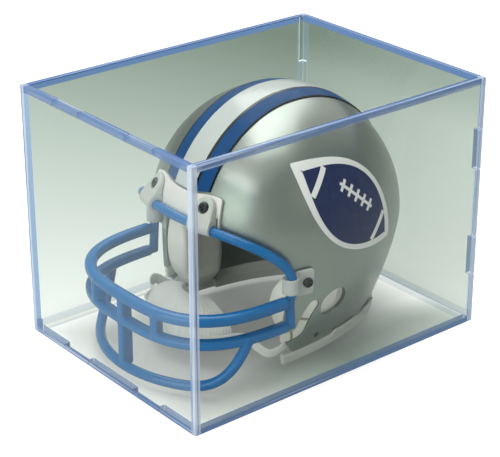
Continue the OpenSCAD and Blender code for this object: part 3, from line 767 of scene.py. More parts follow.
    def make(self) -> Material:
        """Builds the material.

        Returns:
            The new material, which lets lamps and scattered light through.
        """
        material, recipe = new_recipe(self.name)
        facing = recipe.add("LayerWeight", {"Blend": 0.5}).outputs["Facing"]
        outside = recipe.math("SUBTRACT", 1.0, recipe.add("NewGeometry").outputs["Backfacing"])
        edge, streaks = self.edge_mask(recipe, outside)
        film = recipe.add("BsdfTransparent", {"Color": self.film_colour(recipe, outside, edge)})
        haze = recipe.add("TexNoise", {
            "Vector": recipe.place(), "Scale": self.haze_scale, "Detail": 3.0,
        })
        smooth, hazy = self.haze_rough
        rough = recipe.add("MapRange", {
            "Value": haze.outputs["Fac"], "To Min": smooth, "To Max": hazy,
        })
        gloss = recipe.add("BsdfPrincipled", {
            # The edges' colour: deep blue, with pale painted highlights along the streaks.
            "Base Color": recipe.blend(streaks, self.edge_deep, self.edge_pale),
            "Roughness": rough.outputs["Result"], "IOR": self.index,
        })
        shine = recipe.add("BsdfGlossy", {"Color": self.veil_colour, "Roughness": 0.04})
        rise = recipe.math(
            "MULTIPLY_ADD", recipe.band(facing, *self.veil_slant), self.veil[1], self.veil[0]
        )
        level = recipe.math("ABSOLUTE", recipe.normal()[2])
        upright = recipe.math("MULTIPLY_ADD", level, -self.veil_level, 1.0)
        mirror = recipe.fold("MULTIPLY", rise, upright, outside)
        panel = recipe.add("MixShader", {0: mirror, 1: film.outputs[0], 2: shine.outputs[0]})
        body = recipe.add("MixShader", {
            0: recipe.fold("MULTIPLY", edge, outside, self.edge_gloss),
            1: panel.outputs[0], 2: gloss.outputs[0],
        })
        path = recipe.add("LightPath").outputs
        passing = recipe.math("MAXIMUM", path["Is Shadow Ray"], path["Is Diffuse Ray"])
        clear = recipe.add("BsdfTransparent", {"Color": self.passing_tint})
        whole = recipe.add("MixShader", {0: passing, 1: body.outputs[0], 2: clear.outputs[0]})
        recipe.output(whole.outputs[0])
        return material


@dataclass(frozen=True)
class Palette:
    """The finishes of the whole part."""

    clear: ClearFinish = ClearFinish("clear_plastic")
    silver: MouldedFinish = MouldedFinish(
        "silver_paint", (0.345, 0.375, 0.35), tone=0.10, rough=0.31, spread=0.10, patch=45.0,
        grain=3500.0, bump=0.015, metallic=0.8,
    )
    blue_vinyl: MouldedFinish = MouldedFinish(
        "blue_vinyl", (0.001, 0.13, 0.37), tone=0.25, rough=0.2, spread=0.2, patch=90.0,
        grain=900.0, bump=0.05, shine=0.4,
    )
    white_plate: MouldedFinish = MouldedFinish("white_plate_paint", (0.72, 0.715, 0.68), rough=0.4)
    milky: MouldedFinish = MouldedFinish(
        "milky_plastic", (0.49, 0.525, 0.50), rough=0.3, coat=0.2, glow_through=0.25,
    )
    dark_screw: MouldedFinish = MouldedFinish(
        "blackened_screw", (0.045, 0.047, 0.05), tone=0.4, rough=0.42, metallic=0.7, patch=400.0,
    )
    steel: MouldedFinish = MouldedFinish(
        "nut_steel", (0.48, 0.49, 0.50), tone=0.2, rough=0.34, metallic=0.95, patch=300.0,
    )
    foam: MouldedFinish = MouldedFinish(
        "pad_vinyl", (0.81, 0.825, 0.75), tone=0.14, rough=0.55, grain=2600.0, bump=0.06,
        glow_through=0.1,
    )
    tan: MouldedFinish = MouldedFinish(
        "band_tan", (0.34, 0.29, 0.20), tone=0.3, rough=0.5, bump=0.03,
    )
    cup_white: MouldedFinish = MouldedFinish(
        "cup_plastic", (0.80, 0.81, 0.77), rough=0.42, bump=0.03, glow_through=0.1,
    )
    tape: WovenFinish = WovenFinish(
        "strap_tape", (0.92, 0.93, 0.89), rough=0.6, bump=0.05, grain=2500.0,
    )
    bumper: MouldedFinish = MouldedFinish("bumper_rubber", (0.60, 0.61, 0.57), rough=0.5, bump=0.03)
    stripe_white: StripeFinish = StripeFinish(
        "white_stripe_film", (0.51, 0.55, 0.545), rough=0.25, coat=0.2,
        # One dark line, along the white stripe's edge on the wearer's left only.
        lines=((6.2, 7.7),),
    )
    stripe_blue: StripeFinish = StripeFinish(
        "blue_stripe_film", (0.007, 0.06, 0.19), tone=0.12, rough=0.3, shine=0.1,
        lines=((-16.2, -15.1), (15.1, 16.2)),
    )
    emblem_blue: MouldedFinish = MouldedFinish(
        "emblem_film", (0.008, 0.017, 0.085), tone=0.12, rough=0.28, bump=0.01, coat=0.05,
        shine=0.2,
    )
    emblem_white: MouldedFinish = MouldedFinish(
        "emblem_outline_film", (0.80, 0.81, 0.80), rough=0.25, coat=0.4,
    )


# The helmet's own surface


def rounded(turn: Points, power: float) -> tuple[Points, Points]:
    """Point at an angle in degrees on a rounded square of half size 1."""
    across, up = np.cos(np.radians(turn)), np.sin(np.radians(turn))
    size = (np.abs(across) ** power + np.abs(up) ** power) ** (1.0 / power)
    return across / size, up / size


@dataclass(frozen=True)
class ShellForm:
    """Form of the shell in millimetres, in the helmet's own frame.

    A turn of -90 degrees is the brow, 0 the left side and 90 the nape.
    """

    half_w: float = 56.5
    front: float = 58.5
    rear: float = 62.0
    top: float = 119.5
    level: float = 57.0
    edge_z: float = 5.0
    wall: float = 2.2
    power: float = 2.18
    brow_arc: float = 61.2
    brow_z: float = 70.4
    jaw_top_z: float = 38.2
    jaw_y: float = -33.0
    jaw_low_z: float = 15.0
    jaw_corner_y: float = -25.0
    plate_top: float = 82.5
    plate_rise: float = 1.6
    plate_turn: float = 18.8
    tuck_power: float = 1.5
    tuck_back: float = 29.0
    tuck_share: float = 0.22
    tuck_rear: float = 7.0
    brow_power: float = 2.5

    def tuck(self, z: Points) -> Points:
        """How far the section has tucked in at a height, from 0 to 1."""
        low = np.clip((self.level - z) / (self.level - self.edge_z), 0.0, None)
        return low ** self.tuck_power

    def dome(self, z: Points, inset: Points) -> Points:
        """Share of the full section that is left at a height."""
        rise = np.clip((z - self.level) / (self.top - inset - self.level), 0.0, 1.0)
        return np.sqrt(1.0 - rise ** 2)

    def middle(self, z: Points) -> Points:
        """Y of the section's middle at a height."""
        return -self.tuck_back * self.tuck(z)

    def reach_x(self, z: Points, inset: Points) -> Points:
        """Half width of the section."""
        half = self.half_w * (1.0 - self.tuck_share * self.tuck(z))
        return (half - inset) * self.dome(z, inset)

    def reach_y(self, z: Points, inset: Points, forward: Points) -> Points:
        """Reach of the section forwards, or backwards, from its middle."""
        front = self.front + self.middle(z) - inset
        rear = self.rear - self.tuck_rear * self.tuck(z) - self.middle(z) - inset
        return np.where(forward, front, rear) * self.dome(z, inset)

    def point(self, turn: Points, z: Points, inset: Points = 0.0) -> Points:
        """Point of the shell from its turn and height."""
        turn, z, inset = np.broadcast_arrays(
            np.asarray(turn, float), np.asarray(z, float), np.asarray(inset, float)
        )
        across, up = rounded(turn, self.power)
        return np.stack([
            self.reach_x(z, inset) * across,
            self.middle(z) + self.reach_y(z, inset, up < 0) * up,
            z,
        ], axis=-1)

    def side_point(self, y: Points, z: Points, inset: Points = 0.0) -> Points:
        """Point of the shell's left side from its place along Y and Z."""
        y, z = np.broadcast_arrays(np.asarray(y, float), np.asarray(z, float))
        back = y - self.middle(z)
        share = np.clip(np.abs(back) / self.reach_y(z, inset, back < 0), 0.0, 1.0)
        x = self.reach_x(z, inset) * (1.0 - share ** self.power) ** (1.0 / self.power)
        return np.stack([x, y, z], axis=-1)

    def dome_point(self, x: Points, y: Points, inset: Points) -> Points:
        """Point of the dome from its place along X and Y."""
        reach = np.where(y < 0, self.front, self.rear) - inset
        share = (
            (np.abs(x) / (self.half_w - inset)) ** self.power + (np.abs(y) / reach) ** self.power
        ) ** (1.0 / self.power)
        height = (self.top - inset - self.level) * np.sqrt(np.clip(1.0 - share ** 2, 0.0, 1.0))
        return np.stack([x, y, self.level + height], axis=-1)

    def outward(self, turn: Points, z: Points) -> Points:
        """Outward direction at a turn and height."""
        turn, z = np.asarray(turn, float), np.asarray(z, float)
        along = self.point(turn + 1.0, z) - self.point(turn - 1.0, z)
        up = self.point(turn, z + 1.0) - self.point(turn, z - 1.0)
        return unit(np.cross(unit(along), unit(up)))

    def off(self, turn: Points, z: Points, out: float) -> Points:
        """Point at a distance off the shell."""
        return self.point(turn, z) + out * self.outward(turn, z)

    def turn_at(self, y: Points, z: Points) -> Points:
        """Turn of a point of the left side."""
        back = y - self.middle(z)
        up = np.clip(back / self.reach_y(z, 0.0, back < 0), -1.0, 1.0)
        across = (1.0 - np.abs(up) ** self.power) ** (1.0 / self.power)
        return np.degrees(np.arctan2(up, across))

    def brow_path(self, turn: Points) -> tuple[Points, Points]:
        """Turn and height of the brow's edge, at an angle from its middle."""
        across, up = rounded(turn, self.brow_power)
        return (
            -90.0 + self.brow_arc * up,
            self.jaw_top_z + (self.brow_z - self.jaw_top_z) * across,
        )

    def brow_height(self, turn: Points) -> Points:
        """Height of the brow's edge at a turn from the middle of the brow."""
        share = 1.0 - np.clip(np.abs(turn) / self.brow_arc, 0.0, 1.0) ** self.brow_power
        return self.jaw_top_z + (self.brow_z - self.jaw_top_z) * share ** (1.0 / self.brow_power)

    def plate_edge(self, turn: Points) -> Points:
        """Height of the brow plate's upper edge, which rises from its middle to the screws."""
        share = np.minimum(1.0, np.abs(turn) / self.plate_turn)
        return self.plate_top + self.plate_rise * np.sin(np.pi / 2 * share) ** 4

    def brow_turn(self, x: Points, z: float) -> Points:
        """Turn from the middle of the brow to a place across the shell."""
        share = np.clip(np.abs(x) / self.reach_x(np.array(z), 0.0), 0.0, 1.0)
        return np.degrees(np.arctan2(share, (1.0 - share ** self.power) ** (1.0 / self.power)))

    def lower_edge(self) -> tuple[Points, Points]:
        """Turn and height of the shell's lower edge on the left, from brow to nape."""
        brow_turn, brow_z = self.brow_path(np.linspace(0.0, 90.0, 80))
        start_y = float(self.point(brow_turn[-1], brow_z[-1])[1])
        share = np.linspace(0.0, 1.0, 40)[1:]
        front_y = start_y + (self.jaw_y - start_y) * share
        front_z = self.jaw_top_z + (self.jaw_low_z - self.jaw_top_z) * share
        low_y = self.jaw_y + (self.jaw_corner_y - self.jaw_y) * share
        low_z = self.jaw_low_z + (self.edge_z - self.jaw_low_z) * share
        jaw_turn = self.turn_at(np.concatenate([front_y, low_y]), np.concatenate([front_z, low_z]))
        rear_turn = np.linspace(jaw_turn[-1], 90.0, 100)[1:]
        return (
            np.concatenate([brow_turn, jaw_turn, rear_turn]),
            np.concatenate([brow_z, front_z, low_z, np.full(rear_turn.shape, self.edge_z)]),
        )

    def frame_at(self, turn: float, z: float) -> Matrix:
        """Frame on the shell, in metres in the case: X round it, Y up it and Z out of it."""
        x = unit(self.point(turn + 1.0, z) - self.point(turn - 1.0, z))
        n = self.outward(turn, z)
        y = np.cross(n, x)
        at = (self.point(turn, z) + HELMET_AT) * MM
        return Matrix([*np.stack([x, y, n, at], axis=1).tolist(), [0.0, 0.0, 0.0, 1.0]])


FORM = ShellForm()


# Sub-assemblies


@dataclass
class Assembly:
    """Pieces that belong together, made in the finishes of one palette."""

    finishes: Finishes

    def hand_over(
        self, obj: Piece, finish: str, slot: str, *nodes: str, body: Body = Body.REAR
    ) -> None:
        """Dresses a finished piece and puts it on its body and in the place of its nodes.

        Args:
            obj: The finished piece.
            finish: Its finish in the palette.
            slot: The record's material slot; not used.
            *nodes: CAD nodes that it stands for.
            body: The body that it moves with.
        """
        dress(obj, self.finishes[finish])
        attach(obj, body.value)
        if nodes:
            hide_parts(*nodes)
        LOG.info("%s: %d faces, for %s", obj.name, len(obj.data.polygons), nodes or "no node")


@dataclass
class DisplayCase(Assembly):
    """The two clear halves, with their snap tabs, as the CAD cuts them."""

    edge: float = 0.35
    sharp_from: float = 60.0
    flat_below: float = 1.0

    def build(self) -> None:
        """Makes both halves with softly broken edges."""
        for body, node in ((Body.FRONT, "case_front_half"), (Body.REAR, "case_rear_half")):
            half = copy_node(node, f"clear_{body.value}")
            with editing(half):
                bpy.ops.mesh.dissolve_limited(angle_limit=math.radians(self.flat_below))
            round_edges(half, self.edge, self.sharp_from)
            activate(half)
            bpy.ops.object.shade_flat()
            self.hand_over(half, "clear", "clear_case", node, body=body)


@dataclass
class HelmetShell(Assembly):
    """The moulded shell, with its face opening, jaw slots, ear holes and peg holes."""

    columns: int = 320
    rows: int = 84
    bend: float = 60.0
    rim: float = 0.55
    ear_at: Pair = (-6.2, 28.5)
    ear_size: Pair = (15.5, 14.0)
    ear_tilt: float = 24.0
    peg_at: Pair = (-11.3, 10.0)
    peg_hole_d: float = 3.0
    cut_from: float = 20.0
    cut_run: float = 60.0

    def skin(self) -> Piece:
        """Lays the outer skin from the lower edge to the crown."""
        turn, z = FORM.lower_edge()
        steps = np.linalg.norm(np.diff(FORM.point(turn, z), axis=0), axis=1)
        run = np.concatenate([[0.0], np.cumsum(steps)])
        run /= run[-1]

        def place(u: Points, v: Points) -> Points:
            """Point at a share round the edge and up to the crown."""
            half = 1.0 - np.abs(2.0 * u - 1.0)
            here, low = np.interp(half, run, turn), np.interp(half, run, z)
            climb = np.clip((low - FORM.level) / (FORM.top - FORM.level), 0.0, 1.0)
            start = np.where(low < FORM.level, low - FORM.level, self.bend * np.arcsin(climb))
            way = start + (self.bend * math.pi / 2 - start) * v
            rise = np.sin(np.clip(way, 0.0, None) / self.bend)
            height = FORM.level + np.where(way < 0, way, (FORM.top - FORM.level) * rise)
            spot = FORM.point(here, np.minimum(height, FORM.top))
            spot[:, 0] *= np.where(u > 0.5, -1.0, 1.0)
            return spot

        return weld(lay_grid("silver_shell", self.columns, self.rows, place), 0.02)

    def cutter(self, outline: Points, side: Side) -> Piece:
        """Makes a prism along X from an outline in Y and Z.

        Args:
            outline: Points of the outline, in millimetres in the helmet's frame.
            side: The side of the helmet that it cuts.

        Returns:
            The closed cutter.
        """
        prism = primitive(
            bpy.ops.mesh.primitive_circle_add, vertices=len(outline), radius=1.0, fill_type="NGON"
        )
        inner = self.cut_from * side.value
        for vertex, (y, z) in zip(prism.data.vertices, outline):
            vertex.co = Vector(np.array([inner, y, z]) + HELMET_AT) * MM
        with editing(prism):
            bpy.ops.mesh.extrude_region_move(
                TRANSFORM_OT_translate={"value": (self.cut_run * MM * side.value, 0.0, 0.0)}
            )
        return weld(prism)

    def slot_outlines(self) -> list[Points]:
        """Outlines of the jaw slot's straight runs, each with round ends."""
        points = np.array(SLOT_POINTS)
        turns = np.linspace(-math.pi / 2, math.pi / 2, 12)
        runs = []
        for start, end in zip(points[:-1], points[1:]):
            heading = math.atan2(end[1] - start[1], end[0] - start[0])
            runs.append(np.vstack([
                at + SLOT_W / 2 * np.stack([np.cos(lean + turns), np.sin(lean + turns)], axis=1)
                for at, lean in ((end, heading), (start, heading + math.pi))
            ]))
        return runs

    def ear_outline(self) -> Points:
        """Outline of the tilted ear hole."""
        shape = oval(*self.ear_size, power=2.25, points=48)
        tilt = math.radians(self.ear_tilt)
        along, up = math.cos(tilt), math.sin(tilt)
        return shape @ np.array([[along, up], [-up, along]]) + np.array(self.ear_at)

    def build(self) -> None:
        """Makes the shell's wall, rounds its rim and cuts its holes."""
        shell = self.skin()
        finish_with(shell, "SOLIDIFY", thickness=FORM.wall * MM, offset=-1.0, use_even_offset=True)
        round_edges(shell, self.rim, 55.0)
        hole = oval(self.peg_hole_d, self.peg_hole_d) + np.array(self.peg_at)
        for side in Side:
            for outline in (*self.slot_outlines(), self.ear_outline(), hole):
                cut(shell, self.cutter(outline, side))
        self.hand_over(shade(shell, 35.0), "silver", "silver_shell", "helmet_shell")


@dataclass
class FaceMask(Assembly):
    """The vinyl-dipped mask: brow bar, two front bars, chin loop, struts and end posts."""

    bar_d: float = 4.6
    bar_out: float = 4.3
    front_d: float = 6.0
    front_in: float = 0.6
    front_out: float = 0.9
    front_power: float = 3.0
    front_start: float = 3.0
    upper_section: Pair = (5.6, 2.4)
    lower_section: Pair = (4.6, 3.2)
    loop_d: float = 5.0
    upper_z: float = 38.2
    lower_z: float = 26.2
    reach: float = 93.6
    strut_w: float = 4.5
    strut_d: float = 6.6
    strut_turn: float = 66.0
    strut_foot: float = 3.0
    rod_d: float = 4.6
    rod_turn: float = 7.0
    rod_past: float = 0.3
    loop_back: float = 25.2
    loop_run: float = 25.0
    loop_flare: float = 6.2
    loop_clear: float = 0.05
    voxel: float = 0.42
    passes: int = 7
    post: Points = field(init=False)
    half_w: float = field(init=False)

    def __post_init__(self) -> None:
        """Works out where the posts stand."""
        self.post = self.brow_point(np.array([90.0]))[0]
        self.half_w = float(self.post[0]) + self.front_out

    def brow_point(self, turn: Points) -> Points:
        """Point of the brow bar at an angle from its middle."""
        return FORM.off(*FORM.brow_path(turn), self.bar_out)

    def front_point(self, turn: Points, z: float) -> Points:
        """Point of a front bar, at an angle from the left post."""
        across, up = rounded(np.asarray(turn, float), self.front_power)
        depth = self.reach + self.post[1] - self.front_d / 2 - self.front_in
        return np.stack([
            self.half_w * across, self.post[1] - depth * up, np.full(np.shape(turn), z),
        ], axis=-1)

    def loop_point(self, turn: Points) -> Points:
        """Point of the chin loop."""
        across, up = rounded(turn, 2.0)
        y = self.post[1] - (self.reach + self.post[1] - self.loop_d / 2) * up
        run = (self.post[1] - self.loop_back - y) / self.loop_run
        low = self.loop_d / 2 + self.loop_clear
        z = low + (self.lower_z - low) * np.clip(1.0 - run, 0.0, None) ** 3
        return np.stack([(self.half_w + self.loop_flare) * across, y, z], axis=-1)

    def strut(self, turn: float, low: float, high: float) -> Piece:
        """Upright strut between two heights of the front bars."""
        lean = math.radians(90.0 - turn)
        inward = np.array([-math.sin(lean), math.cos(lean), 0.0])
        foot = self.front_point(np.array([turn]), 0.0)[0]
        foot = foot + inward * (self.strut_d - self.front_d) / 2
        path = foot + np.linspace(low, high, 12)[:, None] * np.array([0.0, 0.0, 1.0])
        return sweep("strut", path, oval(self.strut_w, self.strut_d, 4.0, 32), inward)

    def rod(self, start: Points, end: Points, diameter: float) -> Piece:
        """Round rod between two points, drawn out a little past both."""
        way = unit(end - start) * diameter * self.rod_past
        path = start - way + np.linspace(0.0, 1.0, 16)[:, None] * (end - start + 2.0 * way)
        return sweep("rod", path, oval(diameter, diameter), (0.3, 1.0, 0.2))

    def build(self) -> None:
        """Draws each bar and fuses them into one dipped skin."""
        turns = np.linspace(self.front_start, 180.0 - self.front_start, 160)
        brow = self.brow_point(np.linspace(-90.0, 90.0, 160))
        upper, lower = (self.front_point(turns, z) for z in (self.upper_z, self.lower_z))
        share = self.loop_back / (self.reach + self.post[1] - self.loop_d / 2)
        first = math.degrees(math.atan2(share, math.sqrt(1.0 - share ** 2)))
        loop = self.loop_point(np.linspace(first, 180.0 - first, 160))
        low_end = self.front_point(np.array([0.0]), self.lower_z)[0]
        parts = [
            sweep("brow_bar", brow, oval(self.bar_d, self.bar_d), (0, 1, 0)),
            sweep("upper_bar", upper, oval(self.front_d, *self.upper_section), (0, 0, 1)),
            sweep("lower_bar", lower, oval(self.front_d, *self.lower_section), (0, 0, 1)),
            sweep("chin_loop", loop, oval(self.loop_d, self.loop_d), (0, 1, 0)),
            self.strut(90.0, self.lower_z, self.upper_z),
            self.strut(90.0, self.strut_foot, self.lower_z),
            self.strut(self.strut_turn, self.lower_z, self.upper_z),
            self.strut(180.0 - self.strut_turn, self.lower_z, self.upper_z),
        ]
        for side in Side:
            parts.append(self.rod(self.post * side.flip, low_end * side.flip, self.bar_d))
            for z, start in ((self.upper_z, self.post), (self.lower_z, low_end)):
                near = self.front_point(np.array([self.rod_turn]), z)[0]
                parts.append(self.rod(start * side.flip, near * side.flip, self.rod_d))
        mask = fuse(join("blue_mask", parts), self.voxel, self.passes)
        self.hand_over(mask, "blue_vinyl", "blue_mask", "facemask")


@dataclass
class MaskFittings(Assembly):
    """Brow plate, bar clips, screws and nuts that hold the mask on the shell."""

    plate_arc: float = 26.0
    plate_low: float = 74.9
    plate_round: float = 1.4
    plate_lap: float = 1.2
    plate_t: float = 1.8
    plate_gap: float = 0.1
    clip_arc: float = 6.3
    clip_ease: float = 0.6
    clip_voxel: float = 0.2
    top_turn: float = 18.8
    top_z: float = 78.0
    top_face: float = 3.7
    side_turn: float = 68.0
    side_z: float = 45.5
    side_face: float = 2.1
    head_d: float = 4.8
    head_h: float = 1.7
    head_gap: float = 0.1
    head_round: float = 1.02
    shank_d: float = 2.8
    shank_l: float = 9.0
    shank_in: float = 0.3
    recess_w: float = 0.75
    recess_l: float = 3.0
    recess_h: float = 1.5

    def plate(self) -> None:
        """Makes the white brow plate, notched round the clips and down to the bar elsewhere."""

        def place(u: Points, v: Points) -> Points:
            """Point of the plate's outer face."""
            turn = self.plate_arc * (2.0 * u - 1.0)
            top = FORM.plate_edge(turn) - self.plate_round * (np.abs(turn) / self.plate_arc) ** 20
            beside = np.abs(np.abs(turn) - self.top_turn) - self.clip_arc
            drop = FORM.brow_height(turn) + self.plate_lap - self.plate_low
            low = self.plate_low + drop * np.clip(beside / self.clip_ease, 0.0, 1.0)
            return FORM.point(turn - 90.0, low + (top - low) * v, -self.plate_gap - self.plate_t)

        plate = lay_grid("white_brow_plate", 232, 14, place)
        finish_with(plate, "SOLIDIFY", thickness=self.plate_t * MM, offset=-1.0)
        round_edges(plate, 0.5, 50.0)
        self.hand_over(shade(plate), "white_plate", "white_plate", "brow_plate")

    def clips(self) -> None:
        """Moulds the four bar clips, with softly rounded edges."""
        for place in ("top", "side"):
            for side in Side:
                node = f"{place}_clip_{side.word}"
                clip = fuse(copy_node(node, f"milky_{node}"), self.clip_voxel, 6)
                self.hand_over(clip, "milky", "milky_clip", node)

    def screw(self, spot: Matrix, face: float) -> Piece:
        """Makes a domed cross-recess screw seated at a height over the shell.

        Args:
            spot: Frame on the shell.
            face: Height of its seat above the shell, in millimetres.

        Returns:
            The screw, in its place.
        """
        head = primitive(
            bpy.ops.mesh.primitive_cylinder_add, vertices=40, radius=self.head_d / 2 * MM,
            depth=self.head_h * MM,
            location=(0.0, 0.0, (face + self.head_gap + self.head_h / 2) * MM),
        )
        crown = (face + self.head_gap + self.head_h) * MM
        with editing(head, "DESELECT"):
            pass  # a new primitive is selected all over
        for edge in head.data.edges:
            edge.select = all(abs(head.data.vertices[i].co.z - crown) < 1e-6 for i in edge.vertices)
        with editing(head, "KEEP"):
            bpy.ops.mesh.bevel(offset=self.head_round * MM, segments=5, affect="EDGES")
        for length, width in ((self.recess_l, self.recess_w), (self.recess_w, self.recess_l)):
            cut(head, primitive(
                bpy.ops.mesh.primitive_cube_add, size=1.0, location=(0.0, 0.0, crown),
                scale=(length * MM, width * MM, self.recess_h * MM),
            ))
        shank = primitive(
            bpy.ops.mesh.primitive_cylinder_add, vertices=24, radius=self.shank_d / 2 * MM,
            depth=self.shank_l * MM,
            location=(0.0, 0.0, (face + self.shank_in - self.shank_l / 2) * MM),
        )
        screw = join("screw", [head, shank])
        screw.matrix_world = spot
        activate(screw)
        bpy.ops.object.transform_apply(location=True, rotation=True, scale=True)
        return screw

    def screws(self) -> None:
        """Sets the four screws as one piece."""
        seats = (
            (self.top_turn, self.top_z, self.top_face),
            (self.side_turn, self.side_z, self.side_face),
        )
        made = [
            self.screw(FORM.frame_at(-90.0 + side.value * turn, z), face)
            for side in Side for turn, z, face in seats
        ]
        screws = shade(join("cross_recess_screws", made), 35.0)
        self.hand_over(screws, "dark_screw", "dark_screw", "mask_screws")

    def build(self) -> None:
        """Makes every fitting, and gives the CAD's nuts their steel."""
        self.plate()
        self.clips()
        self.screws()
        dress(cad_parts["mask_nuts"], self.finishes["steel"])
        LOG.info("mask_nuts: kept from the frame")


@dataclass
class LinerPads(Assembly):
    """Foam pads inside the shell: two at the jaw, one each at brow, crown and nape."""

    base: float = 2.6
    draft: float = 0.94
    rim: float = 0.4
    edge: float = 0.9
    steps: int = 44
    liner_t: float = 7.0
    brow_at: Pair = (-90.0, 93.0)
    brow_half: Pair = (30.0, 9.0)
    nape_at: Pair = (90.0, 33.0)
    nape_half: Pair = (28.0, 12.0)
    crown_at: Pair = (0.0, 4.0)
    crown_half: Pair = (26.0, 30.0)
    jaw_t: float = 13.5
    jaw_soft: float = 1.0
    jaw_at: Pair = (-16.5, 28.0)
    jaw_half: Pair = (14.5, 22.0)
    jaw_square: Pair = (5.0, 2.3)
    tab_end: Pair = (-32.4, 15.3)
    tab_in: Pair = (0.2, 2.1)
    tab_gap: float = 0.2
    band_at: tuple[Pair, ...] = ((-22.2, 23.4), (-28.0, 15.7))
    band_w: float = 1.3
    band_in: Pair = (0.05, 0.6)
    relief: float = 1.7
    relief_top: float = 17.5
    relief_run: float = 4.0

    def spread(self, u: Points, v: Points, soft: float = 1.0) -> tuple[Points, Points]:
        """Draws a square's corners in, to a disc where soft is 1."""
        s, t = 2.0 * u - 1.0, 2.0 * v - 1.0
        return s * np.sqrt(1.0 - soft * t ** 2 / 2), t * np.sqrt(1.0 - soft * s ** 2 / 2)

    def crown(self, p: Points, q: Points) -> Points:
        """Share of a pad's thickness at a place on its disc."""
        return self.rim + (1.0 - self.rim) * np.sqrt(np.clip(1.0 - p ** 2 - q ** 2, 0.0, 1.0))

    def cushion(self, name: str, node: str, back: Surface, face: Surface, edge: float) -> None:
        """Joins a back and a crowned face into one closed pad.

        Args:
            name: Name of the pad.
            node: CAD node that it stands for.
            back: Surface against the shell.
            face: Crowned surface towards the head.
            edge: Rounding of the pad's edges, in millimetres, or 0 where back and face meet.
        """
        pad = join(name, [
            lay_grid(name, self.steps, self.steps, surface) for surface in (back, face)
        ])
        if edge:
            with editing(pad, "DESELECT"):
                bpy.ops.mesh.select_mode(type="EDGE")
                bpy.ops.mesh.select_non_manifold(
                    extend=False, use_wire=False, use_boundary=True, use_multi_face=False,
                    use_non_contiguous=False, use_verts=False,
                )
                bpy.ops.mesh.bridge_edge_loops(number_cuts=6, interpolation="LINEAR")
        weld(pad)
        if edge:
            round_edges(pad, edge, 38.0)
        self.hand_over(shade(pad, 60.0), "foam", "pad_foam", node)

    def liner_pad(
        self, place: str, at: Pair, half: Pair, lay: Callable[[Points, Points, Points], Points]
    ) -> None:
        """Makes a crowned pad on the shell's inner wall.

        Args:
            place: The place that it is named for.
            at: Its middle, as two measures on the wall.
            half: Half its size along both.
            lay: Gives a point of the wall from both measures and an inset.
        """

        def back(u: Points, v: Points) -> Points:
            """Back of the pad."""
            p, q = self.spread(u, v)
            return lay(at[0] + half[0] * p, at[1] + half[1] * q, np.full(p.shape, self.base))

        def face(u: Points, v: Points) -> Points:
            """Crowned face of the pad."""
            p, q = self.spread(u, v)
            first, second = (a + h * self.draft * s for a, h, s in zip(at, half, (p, q)))
            return lay(first, second, self.base + self.liner_t * self.crown(p, q))

        self.cushion(f"{place}_cushion", f"{place}_pad", back, face, self.edge)

    def bow(self, s: Points, power: float) -> tuple[Points, Points]:
        """Reach and rise of a half-round section, squarer with a higher power."""
        across, up = np.sin(s * np.pi / 2), np.clip(np.cos(s * np.pi / 2), 0.0, 1.0)
        return np.sign(s) * np.abs(across) ** (2.0 / power), up ** (2.0 / power)

    def jaw_pad(self, side: Side) -> None:
        """Makes one side's thick jaw pad, half round from top to bottom."""

        def lie(u: Points, v: Points, thick: float) -> Points:
            """Point over the shell's wall, eased off it low down, where the strap passes."""
            (s, rise_s), (t, rise_t) = (
                self.bow(2.0 * w - 1.0, power) for w, power in zip((u, v), self.jaw_square)
            )
            p, q = self.spread(0.5 + s / 2, 0.5 + t / 2, self.jaw_soft)
            y, z = self.jaw_at[0] + self.jaw_half[0] * p, self.jaw_at[1] + self.jaw_half[1] * q
            ease = self.relief * np.clip((self.relief_top - z) / self.relief_run, 0.0, 1.0)
            return FORM.side_point(y, z, self.base + ease + thick * rise_s * rise_t) * side.flip

        def back(u: Points, v: Points) -> Points:
            """Back of the pad."""
            return lie(u, v, 0.0)

        def face(u: Points, v: Points) -> Points:
            """Rounded front of the pad, which meets its back."""
            return lie(u, v, self.jaw_t)

        self.cushion(f"jaw_cushion_{side.word}", f"jaw_pad_{side.word}", back, face, 0.0)

    def ribbon(self, name: str, line: Points, half: Points, insets: Pair, side: Side) -> Piece:
        """Lays a rounded ribbon in the shell's wall.

        Args:
            name: Name of the ribbon.
            line: Its middle line, as places along Y and Z.
            half: Its half width at each of those places.
            insets: Insets of its outer and inner face from the shell.
            side: The wearer's side.

        Returns:
            The closed ribbon.
        """
        heading = unit(np.gradient(line, axis=0))
        section = oval(2.0, insets[1] - insets[0], 4.0, 24)

        def place(i: Points, k: Points) -> Points:
            """Point of the section at a step along the line."""
            across = half[i] * section[k, 0]
            y, z = line[i, 0] - heading[i, 1] * across, line[i, 1] + heading[i, 0] * across
            return FORM.side_point(y, z, sum(insets) / 2 + section[k, 1]) * side.flip

        return shade(lay_tube(name, len(line) - 1, len(section), place), 50.0)

    def slot_tab(self, side: Side) -> None:
        """Fills one side's jaw slot with the pad's tab, which two narrow bands cross."""
        half_w = SLOT_W / 2 - self.tab_gap
        way = through([*SLOT_POINTS[:-1], self.tab_end], 12)
        turns = np.linspace(0.0, math.pi / 2, 9)[:-1]
        lead = way[0] - unit(way[1] - way[0]) * half_w * np.cos(turns)[:, None]
        half = np.concatenate([half_w * np.sin(turns), np.full(len(way), half_w)])
        line = np.vstack([lead, way])
        tab = self.ribbon(f"jaw_tab_{side.word}", line, half, self.tab_in, side)
        self.hand_over(tab, "foam", "pad_foam")
        shares = np.linspace(-self.band_w / 2, self.band_w / 2, 6)[:, None]
        bands = []
        for spot in self.band_at:
            i = int(np.argmin(np.linalg.norm(way - np.array(spot), axis=1)))
            run = unit(way[i + 1] - way[i - 1]) * shares
            bands.append(self.ribbon("band", way[i] + run, np.full(6, half_w), self.band_in, side))
        self.hand_over(join(f"jaw_tab_bands_{side.word}", bands), "tan", "pad_foam")

